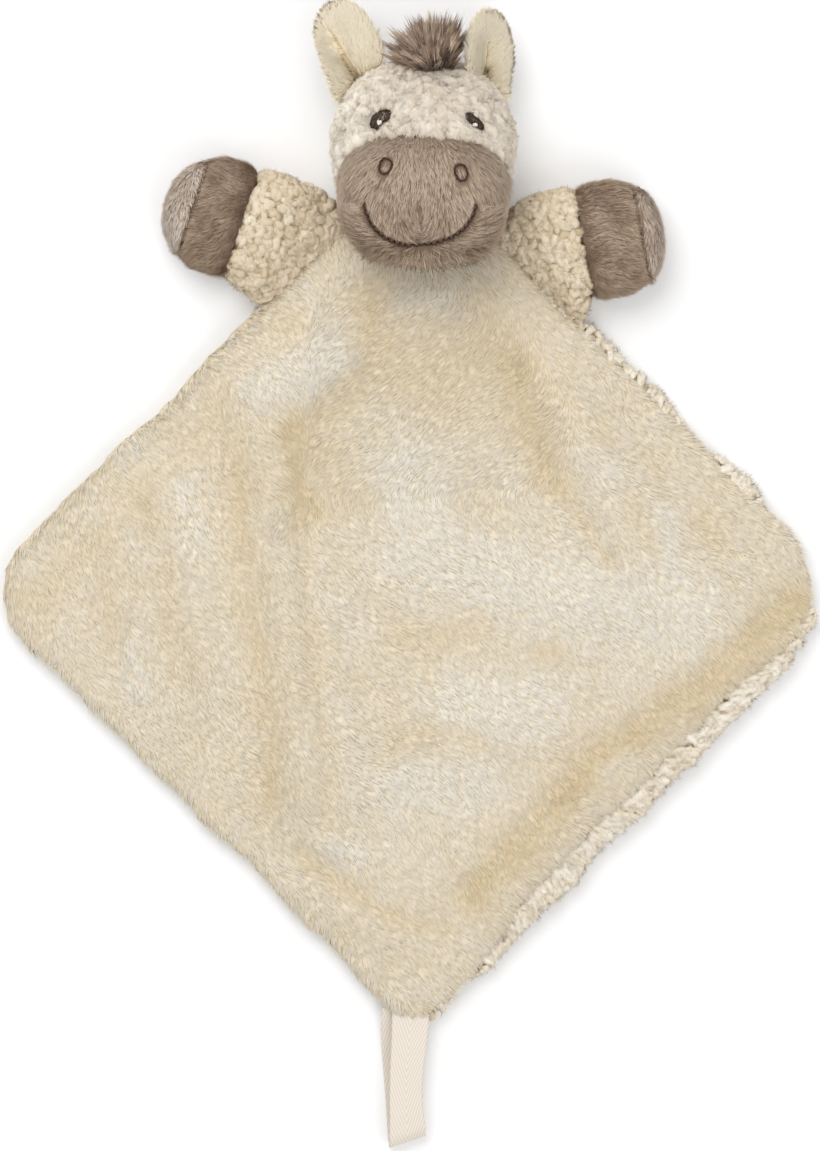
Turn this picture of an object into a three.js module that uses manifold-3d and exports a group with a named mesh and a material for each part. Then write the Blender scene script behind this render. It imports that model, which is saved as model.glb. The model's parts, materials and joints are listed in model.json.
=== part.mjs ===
// A comfort blanket with a soft horse's head, two arms and a tape loop, lying on its back.
// Units are millimetres and +Z is up. The origin is the middle of the blanket, on the
// surface that it lies on, +Y runs from the loop to the head and +X to the viewer's right.

import * as THREE from 'three';
import { mergeVertices } from 'three/addons/utils/BufferGeometryUtils.js';
import Module from 'manifold-3d';

const wasm = await Module();
wasm.setup();

// Gaps and contact
const clearance = 0.3;
const panelGap = 0.5;
const hingeGap = 0.7;
const limbGap = 0.9;
const settleDepth = 0.5;
const cutReach = 400;
const weldDistance = 0.001;

// Blanket, over the pile
const blanketSideLength = 251;
const leftCornerRadius = 30;
const rightCornerRadius = 38;
const bottomCornerRadius = 18;
const plushThickness = 4.5;
const sherpaThickness = 6;
const rimThickness = 1.2;
const rimWidth = 9;
const foldHeight = 8;
const foldWidth = 15;
const lowerPeekWidth = 6;
const upperPeekWidth = 2.5;
const neckWidth = 52;
const peekFadeShares = [0.1, 0.3, 0.75, 0.92];
const rimBlendShare = 0.8;

// Head
const headShiftDistance = 3;
const headTilt = THREE.MathUtils.degToRad(-2.5);
const skullWidth = 74;
const skullLength = 66;
const skullThickness = 47;
const skullAheadDistance = 26.5;
const skullCentreHeight = 22.5;
const muzzleWidth = 66;
const muzzleLength = 51;
const muzzleThickness = 52;
const muzzleAheadDistance = 5.5;
const muzzleCentreHeight = 30;
const muzzleZoneGap = 1.3;
const softBlendRadius = 1.6;
const headSeamHeight = 22.5;
const headCoverThickness = 2.6;
const neckCutHalfHeight = 2.4;
const chinClearAngle = THREE.MathUtils.degToRad(44);
const napeClearAngle = THREE.MathUtils.degToRad(28);

// Face embroidery
const stitchThickness = 1;
const eyeLength = 10;
const eyeWidth = 4.4;
const eyeSpacing = 37.3;
const eyeAheadDistance = 37.8;
const leftEyeSlant = THREE.MathUtils.degToRad(38);
const rightEyeSlant = THREE.MathUtils.degToRad(-44);
const glintRadius = 1.1;
const nostrilWidth = 5.2;
const nostrilLength = 6.8;
const nostrilSpacing = 30.2;
const leftNostrilAheadDistance = 17.8;
const rightNostrilAheadDistance = 15.9;
const nostrilSlant = THREE.MathUtils.degToRad(18);
const patchPointedness = 0.3;
const patchRingShares = [0, 0.5, 1];
const threadRadius = 0.6;
const smileWidth = 44.6;
const smileDepth = 15.5;
const smileAheadDistance = 4.2;

// Ears
const earLength = 35;
const earWidth = 27.5;
const earLayerThickness = 1.8;
const earRimThickness = 0.9;
const earRimWidth = 3;
const earBackMarginWidth = 0.8;
const earCreaseDepth = 5;
const earCurlPower = 1.5;
const earSinkDepth = 4;
const leftEarSideInset = 10.4;
const leftEarCrownInset = 9.9;
const leftEarLean = THREE.MathUtils.degToRad(14);
const leftEarTurn = THREE.MathUtils.degToRad(0);
const rightEarSideInset = 14.6;
const rightEarCrownInset = 10.5;
const rightEarLean = THREE.MathUtils.degToRad(-1);
const rightEarTurn = THREE.MathUtils.degToRad(45);

// Forelock
const forelockWidth = 25;
const forelockLength = 30;
const forelockThickness = 15;
const forelockCrownDistance = 6.5;
const forelockAsideDistance = -1.4;
const forelockCentreHeight = 26.2;

// Arms
const limbWidth = 46.6;
const limbThickness = 27;
const armCoverThickness = 2.5;
const hoofLength = 24;
const soleBulgeLength = 10;
const leftArmNeckDistance = 22.7;
const leftArmAngle = THREE.MathUtils.degToRad(162);
const leftSleeveLength = 28;
const leftHoofShiftDistance = 2.5;
const rightArmNeckDistance = 30.2;
const rightArmAngle = THREE.MathUtils.degToRad(10);
const rightSleeveLength = 20;
const rightHoofShiftDistance = 5;

// Tape loop
const tapeWidth = 14.5;
const tapeThickness = 0.8;
const loopLength = 54;
const loopOpenHeight = 6.6;
const loopAsideDistance = -2.6;

// Number of steps, sides and divisions that round shapes are drawn with
const coverDetail = 7;
const liningDetail = 5;
const fillingDetail = 4;
const tuftDetail = 3;
const patchSides = 14;
const threadSides = 5;
const ringSteps = 16;
const smileSteps = 16;
const limbSides = 18;
const hollowSides = 14;
const tapeSteps = 12;
const searchSteps = 40;

// Colour and roughness of each cloth and thread
const finishes = {
  creamPlush: ['#dad1bf', 0.95],
  creamFleece: ['#c9b89f', 1],
  backFleece: ['#c7b69c', 1],
  paleFleece: ['#d8ccbc', 1],
  taupePlush: ['#a08c7b', 0.9],
  hoofPlush: ['#8f7c6b', 0.9],
  solePlush: ['#b1a08f', 0.9],
  earPlush: ['#dfd3bb', 0.95],
  earBackPlush: ['#9b8877', 0.95],
  longPile: ['#887362', 0.95],
  fibre: ['#f2f0ea', 1],
  brownThread: ['#4d3c33', 0.7],
  whiteThread: ['#f4efe6', 0.6],
  cottonTape: ['#e7ded2', 0.85],
};

// Worked out from the sizes above
const seamHeight = sherpaThickness - settleDepth;
const cornerReach = blanketSideLength / Math.SQRT2;
const neckAt = cornerReach - neckWidth / 2;
const crownAt = skullAheadDistance + skullLength / 2;
const headCentre = new THREE.Vector3(0, (skullAheadDistance * 2 + muzzleAheadDistance) / 3, headSeamHeight);

// Spacing of the grid lines from the middle of a panel to its rim
const ringShares = [0, 0.13, 0.26, 0.38, 0.5, 0.61, 0.71, 0.8, 0.88, 0.945, 0.983, 1];
const earRingShares = [0, 0.4, 0.75, 1];

// Folds of the blanket: start x, start y, end x and end y as shares of its side,
// then shares of the fold height and of the fold width
const foldShares = [
  [-0.244, 0.241, -0.175, -0.332, 1, 1],
  [-0.446, 0.114, -0.343, -0.157, 0.6, 0.9],
  [-0.271, 0.313, -0.112, 0.385, 0.7, 1.1],
  [0.128, 0.42, 0.2, 0.28, 0.5, 0.9],
  [0.25, 0.31, 0.36, 0.06, 0.75, 1],
  [0.54, -0.075, 0.135, -0.49, 0.45, 0.7],
  [-0.056, -0.284, 0.135, -0.221, 0.5, 1],
  [0.327, -0.04, 0.5, 0, 0.4, 1],
  [0.1, 0.17, 0.24, 0.03, 0.4, 1.1],
  [-0.14, -0.47, -0.02, -0.54, 0.4, 0.8],
];

// Ear outline: shares of the ear's width and length, from the outer end of the base
const earOutlineShares = [
  [-0.32, -0.14], [-0.45, 0.12], [-0.52, 0.52], [-0.39, 0.87], [-0.07, 1],
  [0.24, 0.86], [0.38, 0.6], [0.45, 0.38], [0.33, 0.15],
];

// Arm sections: share of the way along, share of the half width, share of the half thickness
const sleeveShares = [[0, 0.84, 0.05], [0.12, 0.94, 0.3], [0.38, 1, 0.68], [0.72, 1, 0.87], [1, 0.93, 0.86]];
const hoofShares = [[0.25, 0.99, 0.97], [0.6, 1, 1], [1, 0.85, 0.88]];
const soleShares = [[0.3, 0.8, 0.82], [0.65, 0.62, 0.64], [0.9, 0.36, 0.38], [1, 0.14, 0.15]];
const hollowStartStation = 2;

// Fullness of the soft sections, 2 being an ellipse
const headPower = 2.2;
const muzzlePower = 2.7;
const limbPower = 2.4;

function material([colour, roughness]) {
  return new THREE.MeshStandardMaterial({ color: new THREE.Color(colour), roughness, metalness: 0 });
}

function piece(name, geometry, finish) {
  geometry.computeVertexNormals();
  const mesh = new THREE.Mesh(geometry, material(finish));
  mesh.name = name;
  return mesh;
}

// Closed geometry to solid, and back
function solidFrom(geometry) {
  const bare = geometry.clone();
  bare.deleteAttribute('normal');
  bare.deleteAttribute('uv');
  const merged = mergeVertices(bare, weldDistance);
  const vertProperties = new Float32Array(merged.attributes.position.array);
  const triVerts = new Uint32Array(merged.index.array);
  return new wasm.Manifold(new wasm.Mesh({ numProp: 3, vertProperties, triVerts }));
}

function geometryFrom(solid) {
  const mesh = solid.getMesh();
  const geometry = new THREE.BufferGeometry();
  geometry.setAttribute('position', new THREE.BufferAttribute(new Float32Array(mesh.vertProperties), 3));
  geometry.setIndex(new THREE.BufferAttribute(new Uint32Array(mesh.triVerts), 1));
  return geometry;
}

function indexedGeometry(points, faces) {
  const geometry = new THREE.BufferGeometry();
  const flat = points.flatMap((point) => [point.x, point.y, point.z]);
  geometry.setAttribute('position', new THREE.BufferAttribute(new Float32Array(flat), 3));
  geometry.setIndex(faces.flat());
  return geometry;
}

// Everything below the surface that the blanket lies on
function floorSolid() {
  const slab = new THREE.BoxGeometry(cutReach * 2, cutReach * 2, cutReach);
  slab.translate(0, 0, -cutReach / 2);
  return solidFrom(slab);
}

const floor = floorSolid();

function smoothStep(low, high, value) {
  return THREE.MathUtils.smoothstep(value, low, high);
}

// Way round the unit square, 0 to 1, from its lower left corner and anticlockwise
function squareTurn(s, t) {
  if (t === -1) return (s + 1) / 8;
  if (s === 1) return (t + 1) / 8 + 1 / 4;
  if (t === 1) return (1 - s) / 8 + 1 / 2;
  return (1 - t) / 8 + 3 / 4;
}

// A thin closed panel on a square grid that is fitted to a rounded outline.
// place(reach, turn) gives the plan position, and the two surfaces give its heights.
function panelGeometry(shares, place, upper, lower) {
  const half = shares.length - 1;
  const row = 2 * half + 1;
  const points = [];
  for (const surface of [upper, lower]) {
    for (let i = 0; i < row; i += 1) {
      for (let j = 0; j < row; j += 1) {
        const s = Math.sign(i - half) * shares[Math.abs(i - half)];
        const t = Math.sign(j - half) * shares[Math.abs(j - half)];
        const reach = Math.max(Math.abs(s), Math.abs(t));
        const turn = reach === 0 ? 0 : squareTurn(s / reach, t / reach);
        const plan = place(reach, turn);
        points.push(new THREE.Vector3(plan.x, plan.y, surface(plan.x, plan.y, reach)));
      }
    }
  }
  const at = (layer, i, j) => layer * row * row + i * row + j;
  const faces = [];
  for (let i = 0; i < row - 1; i += 1) {
    for (let j = 0; j < row - 1; j += 1) {
      const rising = (i < half) === (j < half);
      const corners = [[i, j], [i + 1, j], [i + 1, j + 1], [i, j + 1]];
      const order = rising ? [0, 1, 2, 0, 2, 3] : [0, 1, 3, 1, 2, 3];
      const over = order.map((k) => at(0, corners[k][0], corners[k][1]));
      const under = order.map((k) => at(1, corners[k][0], corners[k][1])).reverse();
      faces.push(over, under);
    }
  }
  const rim = [];
  for (let k = 0; k < row - 1; k += 1) rim.push([k, 0]);
  for (let k = 0; k < row - 1; k += 1) rim.push([row - 1, k]);
  for (let k = row - 1; k > 0; k -= 1) rim.push([k, row - 1]);
  for (let k = row - 1; k > 0; k -= 1) rim.push([0, k]);
  rim.forEach(([i, j], k) => {
    const [nextI, nextJ] = rim[(k + 1) % rim.length];
    faces.push([at(0, i, j), at(1, i, j), at(1, nextI, nextJ)]);
    faces.push([at(0, i, j), at(1, nextI, nextJ), at(0, nextI, nextJ)]);
  });
  return indexedGeometry(points, faces);
}

// Blanket

// The square stands on a corner. Its top corner is cut off straight at the neck seam.
function blanketOutline() {
  const outline = new THREE.Path();
  const bottomCentre = -cornerReach + bottomCornerRadius * Math.SQRT2;
  const rightCentre = cornerReach - rightCornerRadius * Math.SQRT2;
  const leftCentre = -cornerReach + leftCornerRadius * Math.SQRT2;
  const quarter = Math.PI / 4;
  outline.absarc(0, bottomCentre, bottomCornerRadius, -2 * quarter, -quarter, false);
  outline.absarc(rightCentre, 0, rightCornerRadius, -quarter, quarter, false);
  outline.lineTo(neckWidth / 2, neckAt);
  outline.lineTo(-neckWidth / 2, neckAt);
  outline.absarc(leftCentre, 0, leftCornerRadius, 3 * quarter, 5 * quarter, false);
  outline.absarc(0, bottomCentre, bottomCornerRadius, -3 * quarter, -2 * quarter, false);
  return outline;
}

const outline = blanketOutline();

// How far the plush stops short of the seam's outer edge, the two right-hand sides only
function plushInset(edge) {
  const alongShare = edge.x / cornerReach;
  const [start, full, fading, end] = peekFadeShares;
  const alongSide = smoothStep(start, full, alongShare) * (1 - smoothStep(fading, end, alongShare));
  const inset = edge.y < 0 ? lowerPeekWidth : upperPeekWidth;
  const away = edge.y < 0 ? 1 : -1;
  return new THREE.Vector2(-1, away).multiplyScalar((inset * alongSide) / Math.SQRT2);
}

function blanketPlace(isFront) {
  return (reach, turn) => {
    const edge = outline.getPointAt(turn);
    const plan = edge.clone().multiplyScalar(reach);
    if (isFront) plan.addScaledVector(plushInset(edge), smoothStep(rimBlendShare, 1, reach));
    return plan;
  };
}

function distanceToSegment(x, y, fold) {
  const start = new THREE.Vector2(fold[0], fold[1]).multiplyScalar(blanketSideLength);
  const end = new THREE.Vector2(fold[2], fold[3]).multiplyScalar(blanketSideLength);
  const along = end.clone().sub(start);
  const share = new THREE.Vector2(x, y).sub(start).dot(along) / along.lengthSq();
  const nearest = start.addScaledVector(along, THREE.MathUtils.clamp(share, 0, 1));
  return nearest.distanceTo(new THREE.Vector2(x, y));
}

// Height that the folds lift the cloth by
function foldLift(x, y) {
  let lift = 0;
  for (const fold of foldShares) {
    const width = foldWidth * fold[5];
    lift += foldHeight * fold[4] * Math.exp(-((distanceToSegment(x, y, fold) / width) ** 2));
  }
  return lift;
}

// Share of a panel's thickness left at a distance from its rim, rounded like a rolled seam
function rimFullness(reach) {
  const inward = Math.min(((1 - reach) * blanketSideLength) / 2 / rimWidth, 1);
  return Math.sqrt(1 - (1 - inward) ** 2);
}

function panelThickness(full, reach) {
  return rimThickness + (full - rimThickness) * rimFullness(reach);
}

function seamSurface(x, y) {
  return seamHeight + foldLift(x, y);
}

function blanketFront() {
  const upper = (x, y, reach) => seamSurface(x, y) + panelThickness(plushThickness, reach);
  const lower = (x, y) => seamSurface(x, y) + panelGap / 2;
  const geometry = panelGeometry(ringShares, blanketPlace(true), upper, lower);
  return piece('blanket_front', geometry, finishes.creamPlush);
}

function blanketBack() {
  const upper = (x, y) => seamSurface(x, y) - panelGap / 2;
  const lower = (x, y, reach) => seamSurface(x, y) - panelThickness(sherpaThickness, reach);
  const panel = solidFrom(panelGeometry(ringShares, blanketPlace(false), upper, lower));
  return piece('blanket_back', geometryFrom(panel.subtract(floor)), finishes.backFleece);
}

// Head

// Head frame: x across the head, y from the neck seam to the crown, z as the row's
const headFrame = new THREE.Matrix4().makeRotationZ(headTilt).setPosition(headShiftDistance, neckAt, 0);
const headFrameBack = headFrame.clone().invert();

function ballLevel(point, centre, radii, power) {
  const x = Math.abs(point.x - centre.x) / radii.x;
  const y = Math.abs(point.y - centre.y) / radii.y;
  const z = Math.abs(point.z - centre.z) / radii.z;
  const size = (radii.x + radii.y + radii.z) / 3;
  return ((x ** power + y ** power + z ** power) ** (1 / power) - 1) * size;
}

const skullCentre = new THREE.Vector3(0, skullAheadDistance, skullCentreHeight);
const skullRadii = new THREE.Vector3(skullWidth, skullLength, skullThickness).divideScalar(2);
const muzzleCentre = new THREE.Vector3(0, muzzleAheadDistance, muzzleCentreHeight);
const muzzleRadii = new THREE.Vector3(muzzleWidth, muzzleLength, muzzleThickness).divideScalar(2);

// Distance-like level of the stuffed head, below zero inside
function headLevel(point) {
  const skull = ballLevel(point, skullCentre, skullRadii, headPower);
  const muzzle = ballLevel(point, muzzleCentre, muzzleRadii, muzzlePower);
  const nearness = Math.exp(-skull / softBlendRadius) + Math.exp(-muzzle / softBlendRadius);
  return -softBlendRadius * Math.log(nearness);
}

// Where a line from a start point leaves a form whose level is below zero inside
function exitDistance(start, direction, level) {
  let near = 0;
  let far = skullWidth;
  for (let step = 0; step < searchSteps; step += 1) {
    const middle = (near + far) / 2;
    const inside = level(start.clone().addScaledVector(direction, middle)) < 0;
    if (inside) near = middle;
    else far = middle;
  }
  return near;
}

// A ball of triangles drawn out to a form's surface, then grown or shrunk by an offset
function formGeometry(detail, centre, level, offset) {
  const ball = new THREE.IcosahedronGeometry(1, detail);
  const position = ball.attributes.position;
  for (let i = 0; i < position.count; i += 1) {
    const direction = new THREE.Vector3().fromBufferAttribute(position, i).normalize();
    const point = centre.clone().addScaledVector(direction, exitDistance(centre, direction, level) + offset);
    position.setXYZ(i, point.x, point.y, point.z);
  }
  return ball;
}

function headForm(detail, offset) {
  return solidFrom(formGeometry(detail, headCentre, headLevel, offset).applyMatrix4(headFrame));
}

// The part of the head that the muzzle's cover wraps
function muzzleZone(margin) {
  const radii = muzzleRadii.clone().addScalar(margin);
  const level = (point) => ballLevel(point, muzzleCentre, radii, muzzlePower);
  return solidFrom(formGeometry(liningDetail, muzzleCentre, level, 0).applyMatrix4(headFrame));
}

// Room at the neck seam for the blanket's edge, opening wide enough for the head to nod
function neckRoom(extra) {
  const root = neckAt + hingeGap + extra;
  const top = seamHeight + neckCutHalfHeight + extra;
  const bottom = seamHeight - neckCutHalfHeight - extra;
  const side = new THREE.Shape();
  side.moveTo(root, top);
  side.lineTo(root - cutReach, top + cutReach * Math.tan(chinClearAngle));
  side.lineTo(root - cutReach, -cutReach);
  side.lineTo(root + (bottom + cutReach) * Math.tan(napeClearAngle), -cutReach);
  side.lineTo(root, bottom);
  side.closePath();
  const room = new THREE.ExtrudeGeometry(side, { depth: cutReach, bevelEnabled: false });
  room.translate(0, 0, -cutReach / 2);
  room.applyMatrix4(new THREE.Matrix4().makeBasis(
    new THREE.Vector3(0, 1, 0), new THREE.Vector3(0, 0, 1), new THREE.Vector3(1, 0, 0)));
  return solidFrom(room);
}

function headCovers() {
  const shell = headForm(coverDetail, 0).subtract(headForm(liningDetail, -headCoverThickness))
    .subtract(neckRoom(0)).subtract(floor);
  const upperHalf = new THREE.BoxGeometry(cutReach, cutReach, cutReach);
  upperHalf.translate(0, neckAt, headSeamHeight + (cutReach + clearance) / 2);
  const lowerHalf = new THREE.BoxGeometry(cutReach, cutReach, cutReach);
  lowerHalf.translate(0, neckAt, headSeamHeight - (cutReach + clearance) / 2);
  const muzzle = shell.intersect(muzzleZone(muzzleZoneGap));
  const rest = shell.subtract(muzzleZone(muzzleZoneGap + clearance));
  return [
    piece('head_cover_front', geometryFrom(rest.intersect(solidFrom(upperHalf))), finishes.paleFleece),
    piece('head_cover_back', geometryFrom(rest.intersect(solidFrom(lowerHalf))), finishes.paleFleece),
    piece('muzzle_cover', geometryFrom(muzzle), finishes.taupePlush),
  ];
}

function headStuffing() {
  const inset = headCoverThickness + clearance * 3;
  const filling = headForm(fillingDetail, -inset).subtract(neckRoom(clearance)).subtract(floor);
  return piece('head_stuffing', geometryFrom(filling), finishes.fibre);
}

// Height of the stuffed head's upper surface over a point of the head frame
function faceHeight(x, y) {
  const start = new THREE.Vector3(x, y, headSeamHeight);
  return headSeamHeight + exitDistance(start, new THREE.Vector3(0, 0, 1), headLevel);
}

// A flat patch of stitches that follows the face: an ellipse with pointed ends
function patchGeometry(centreX, centreY, length, width, slant, lift, thickness) {
  const around = patchSides;
  const points = [];
  for (const height of [lift + thickness, lift]) {
    for (const ringShare of patchRingShares) {
      for (let k = 0; k < (ringShare === 0 ? 1 : around); k += 1) {
        const angle = (k / around) * Math.PI * 2;
        const u = (ringShare * Math.cos(angle) * length) / 2;
        const narrowing = Math.abs(Math.sin(angle)) ** patchPointedness;
        const v = (ringShare * Math.sin(angle) * narrowing * width) / 2;
        const x = centreX + u * Math.cos(slant) - v * Math.sin(slant);
        const y = centreY + u * Math.sin(slant) + v * Math.cos(slant);
        points.push(new THREE.Vector3(x, y, faceHeight(x, y) + height));
      }
    }
  }
  const layer = 1 + 2 * around;
  const faces = [];
  for (let k = 0; k < around; k += 1) {
    const next = (k + 1) % around;
    const inner = [1 + k, 1 + next];
    const outer = [1 + around + k, 1 + around + next];
    const over = [[0, inner[0], inner[1]], [inner[0], outer[0], outer[1]], [inner[0], outer[1], inner[1]]];
    for (const face of over) {
      faces.push(face);
      faces.push(face.map((i) => i + layer).reverse());
    }
    faces.push([outer[0], outer[0] + layer, outer[1] + layer]);
    faces.push([outer[0], outer[1] + layer, outer[1]]);
  }
  return indexedGeometry(points, faces).applyMatrix4(headFrame);
}

function eyes() {
  const pieces = [];
  const sides = [['left', -1, leftEyeSlant], ['right', 1, rightEyeSlant]];
  for (const [side, way, slant] of sides) {
    const x = (way * eyeSpacing) / 2;
    const eye = patchGeometry(x, eyeAheadDistance, eyeLength, eyeWidth, slant, clearance, stitchThickness);
    pieces.push(piece(`eye_${side}`, eye, finishes.brownThread));
    const lift = clearance * 2 + stitchThickness;
    const glint = patchGeometry(x, eyeAheadDistance - glintRadius / 2, glintRadius * 2, glintRadius * 2, 0,
      lift, stitchThickness / 2);
    pieces.push(piece(`eye_glint_${side}`, glint, finishes.whiteThread));
  }
  return pieces;
}

// Outward direction of the face over a point of the head frame
function faceNormal(x, y) {
  const step = threadRadius;
  const slopeX = (faceHeight(x + step, y) - faceHeight(x - step, y)) / (2 * step);
  const slopeY = (faceHeight(x, y + step) - faceHeight(x, y - step)) / (2 * step);
  return new THREE.Vector3(-slopeX, -slopeY, 1).normalize();
}

function nostrils() {
  const pieces = [];
  const sides = [['left', -1, leftNostrilAheadDistance], ['right', 1, rightNostrilAheadDistance]];
  for (const [side, way, ahead] of sides) {
    const x = (way * nostrilSpacing) / 2;
    const radius = nostrilLength / 2 - threadRadius;
    const ring = new THREE.TorusGeometry(radius, threadRadius, threadSides, ringSteps);
    ring.scale((nostrilWidth / 2 - threadRadius) / radius, 1, 1);
    ring.rotateZ(-way * nostrilSlant);
    const normal = faceNormal(x, ahead);
    const turn = new THREE.Quaternion().setFromUnitVectors(new THREE.Vector3(0, 0, 1), normal);
    ring.applyQuaternion(turn);
    const seat = new THREE.Vector3(x, ahead, faceHeight(x, ahead));
    seat.addScaledVector(normal, threadRadius + clearance);
    ring.translate(seat.x, seat.y, seat.z);
    pieces.push(piece(`nostril_${side}`, ring.applyMatrix4(headFrame), finishes.brownThread));
  }
  return pieces;
}

// The smile is half an ellipse, laid on the face as a round thread
function smileStitch() {
  const points = [];
  for (let k = 0; k <= smileSteps; k += 1) {
    const angle = Math.PI + (k / smileSteps) * Math.PI;
    const x = (Math.cos(angle) * smileWidth) / 2;
    const y = smileAheadDistance + Math.sin(angle) * smileDepth;
    const seat = new THREE.Vector3(x, y, faceHeight(x, y));
    points.push(seat.addScaledVector(faceNormal(x, y), threadRadius + clearance));
  }
  const path = new THREE.CatmullRomCurve3(points);
  const section = new THREE.Shape();
  section.absarc(0, 0, threadRadius, 0, Math.PI * 2, false);
  const options = { extrudePath: path, steps: smileSteps, curveSegments: threadSides };
  const thread = new THREE.ExtrudeGeometry(section, options);
  return piece('smile_stitch', thread.applyMatrix4(headFrame), finishes.brownThread);
}

function forelock(headRoom) {
  const tuft = new THREE.IcosahedronGeometry(1, tuftDetail);
  tuft.scale(forelockWidth / 2, forelockLength / 2, forelockThickness / 2);
  tuft.translate(forelockAsideDistance, crownAt + forelockCrownDistance, forelockCentreHeight);
  const solid = solidFrom(tuft.applyMatrix4(headFrame)).subtract(headRoom);
  return piece('forelock', geometryFrom(solid), finishes.longPile);
}

// Ears

function earFrame(way, sideInset, crownInset, lean, turn) {
  const frame = new THREE.Matrix4().makeRotationZ(lean);
  frame.multiply(new THREE.Matrix4().makeRotationY(turn));
  frame.setPosition(way * (skullWidth / 2 - sideInset), crownAt - crownInset, headSeamHeight);
  return frame.premultiply(headFrame);
}

// Both layers share this bent surface: two halves folded up beside a crease at the base
function earRise(x, y) {
  const towardsBase = 1 - THREE.MathUtils.clamp(y / earLength, 0, 1);
  return earCreaseDepth * towardsBase * Math.abs(x / (earWidth / 2)) ** earCurlPower;
}

function earLayer(way, margin, isFront) {
  const corners = earOutlineShares.map(([across, along], i) => {
    const isBase = i === 0 || i === earOutlineShares.length - 1;
    const sink = isBase ? earSinkDepth : 0;
    const x = -way * across * (earWidth + margin * 2);
    const y = along * (earLength + margin) - sink;
    return new THREE.Vector3(x, y, 0);
  });
  if (way > 0) corners.reverse();
  const curve = new THREE.CatmullRomCurve3(corners, true, 'centripetal');
  const middle = new THREE.Vector3(0, earLength / 2, 0);
  const place = (reach, turn) => middle.clone().lerp(curve.getPointAt(1 - turn), reach);
  const near = clearance / 2;
  const thickness = (reach) => {
    const inward = Math.min(((1 - reach) * earWidth) / 2 / earRimWidth, 1);
    return earRimThickness + (earLayerThickness - earRimThickness) * Math.sqrt(inward);
  };
  const inner = (x, y) => earRise(x, y) + (isFront ? near : -near);
  const outer = (x, y, reach) => inner(x, y) + (isFront ? thickness(reach) : -thickness(reach));
  const surfaces = isFront ? [outer, inner] : [inner, outer];
  return panelGeometry(earRingShares, place, surfaces[0], surfaces[1]);
}

function ears(headRoom) {
  const pieces = [];
  const sides = [
    ['left', -1, earFrame(-1, leftEarSideInset, leftEarCrownInset, leftEarLean, leftEarTurn)],
    ['right', 1, earFrame(1, rightEarSideInset, rightEarCrownInset, rightEarLean, rightEarTurn)],
  ];
  for (const [side, way, frame] of sides) {
    const front = solidFrom(earLayer(way, 0, true).applyMatrix4(frame)).subtract(headRoom);
    const back = solidFrom(earLayer(way, earBackMarginWidth, false).applyMatrix4(frame)).subtract(headRoom);
    pieces.push(piece(`ear_front_${side}`, geometryFrom(front), finishes.earPlush));
    pieces.push(piece(`ear_back_${side}`, geometryFrom(back), finishes.earBackPlush));
  }
  return pieces;
}

// Arms

// Plan directions of one arm: down its seam, out of the blanket, along and across the arm
function armDirections(way, angle, neckDistance, shift) {
  const seam = new THREE.Vector2(way, -1).divideScalar(Math.SQRT2);
  const out = new THREE.Vector2(way, 1).divideScalar(Math.SQRT2);
  const along = new THREE.Vector2(Math.cos(angle), Math.sin(angle));
  const across = new THREE.Vector2(-Math.sin(angle), Math.cos(angle)).multiplyScalar(way);
  const root = new THREE.Vector2((way * neckWidth) / 2, neckAt);
  root.addScaledVector(seam, neckDistance).addScaledVector(out, limbGap);
  return { way, angle, seam, along, across, root, shift };
}

// Sections of an arm from its root to the tip of the sole, shrunk by an inset
function armSections(directions, sleeveLength, inset, firstStation) {
  const { seam, along, across, root, shift } = directions;
  const lean = seam.dot(along) / Math.abs(seam.dot(across));
  const sections = [];
  const add = (at, leanShare, widthShare, thicknessShare, height) => {
    const halfWidth = (limbWidth / 2) * widthShare - inset;
    const halfThickness = (limbThickness / 2) * thicknessShare - inset;
    const aside = shift * smoothStep(0, 1, at / sleeveLength);
    const middle = root.clone().addScaledVector(along, at).addScaledVector(across, aside);
    const half = across.clone().addScaledVector(along, -lean * leanShare).multiplyScalar(halfWidth);
    sections.push({ middle, half, halfThickness, height });
  };
  for (const [share, widthShare, thicknessShare] of sleeveShares) {
    const resting = (limbThickness / 2) * thicknessShare - settleDepth;
    add(sleeveLength * share, 1 - share, widthShare, thicknessShare, Math.max(resting, seamHeight));
  }
  for (const [share, widthShare, thicknessShare] of hoofShares) {
    const at = sleeveLength + hoofLength * share;
    add(at, 0, widthShare, thicknessShare, limbThickness / 2 - settleDepth);
  }
  for (const [share, widthShare, thicknessShare] of soleShares) {
    const at = sleeveLength + hoofLength + (soleBulgeLength - inset) * share;
    add(at, 0, widthShare, thicknessShare, limbThickness / 2 - settleDepth);
  }
  return sections.slice(firstStation).filter((section) => section.halfThickness > 0);
}

// Closed form drawn through the sections, rounded in each by the limb power
function limbGeometry(sections, sides) {
  const points = [];
  for (const { middle, half, halfThickness, height } of sections) {
    for (let k = 0; k < sides; k += 1) {
      const angle = (k / sides) * Math.PI * 2;
      const wide = Math.sign(Math.cos(angle)) * Math.abs(Math.cos(angle)) ** (2 / limbPower);
      const high = Math.sign(Math.sin(angle)) * Math.abs(Math.sin(angle)) ** (2 / limbPower);
      const plan = middle.clone().addScaledVector(half, wide);
      points.push(new THREE.Vector3(plan.x, plan.y, height + halfThickness * high));
    }
  }
  const faces = [];
  for (let i = 0; i < sections.length - 1; i += 1) {
    for (let k = 0; k < sides; k += 1) {
      const next = (k + 1) % sides;
      const quad = [i * sides + k, i * sides + next, (i + 1) * sides + next, (i + 1) * sides + k];
      faces.push([quad[0], quad[1], quad[2]], [quad[0], quad[2], quad[3]]);
    }
  }
  const last = (sections.length - 1) * sides;
  for (let k = 1; k < sides - 1; k += 1) {
    faces.push([0, k + 1, k]);
    faces.push([last, last + k, last + k + 1]);
  }
  return indexedGeometry(points, faces);
}

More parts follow.
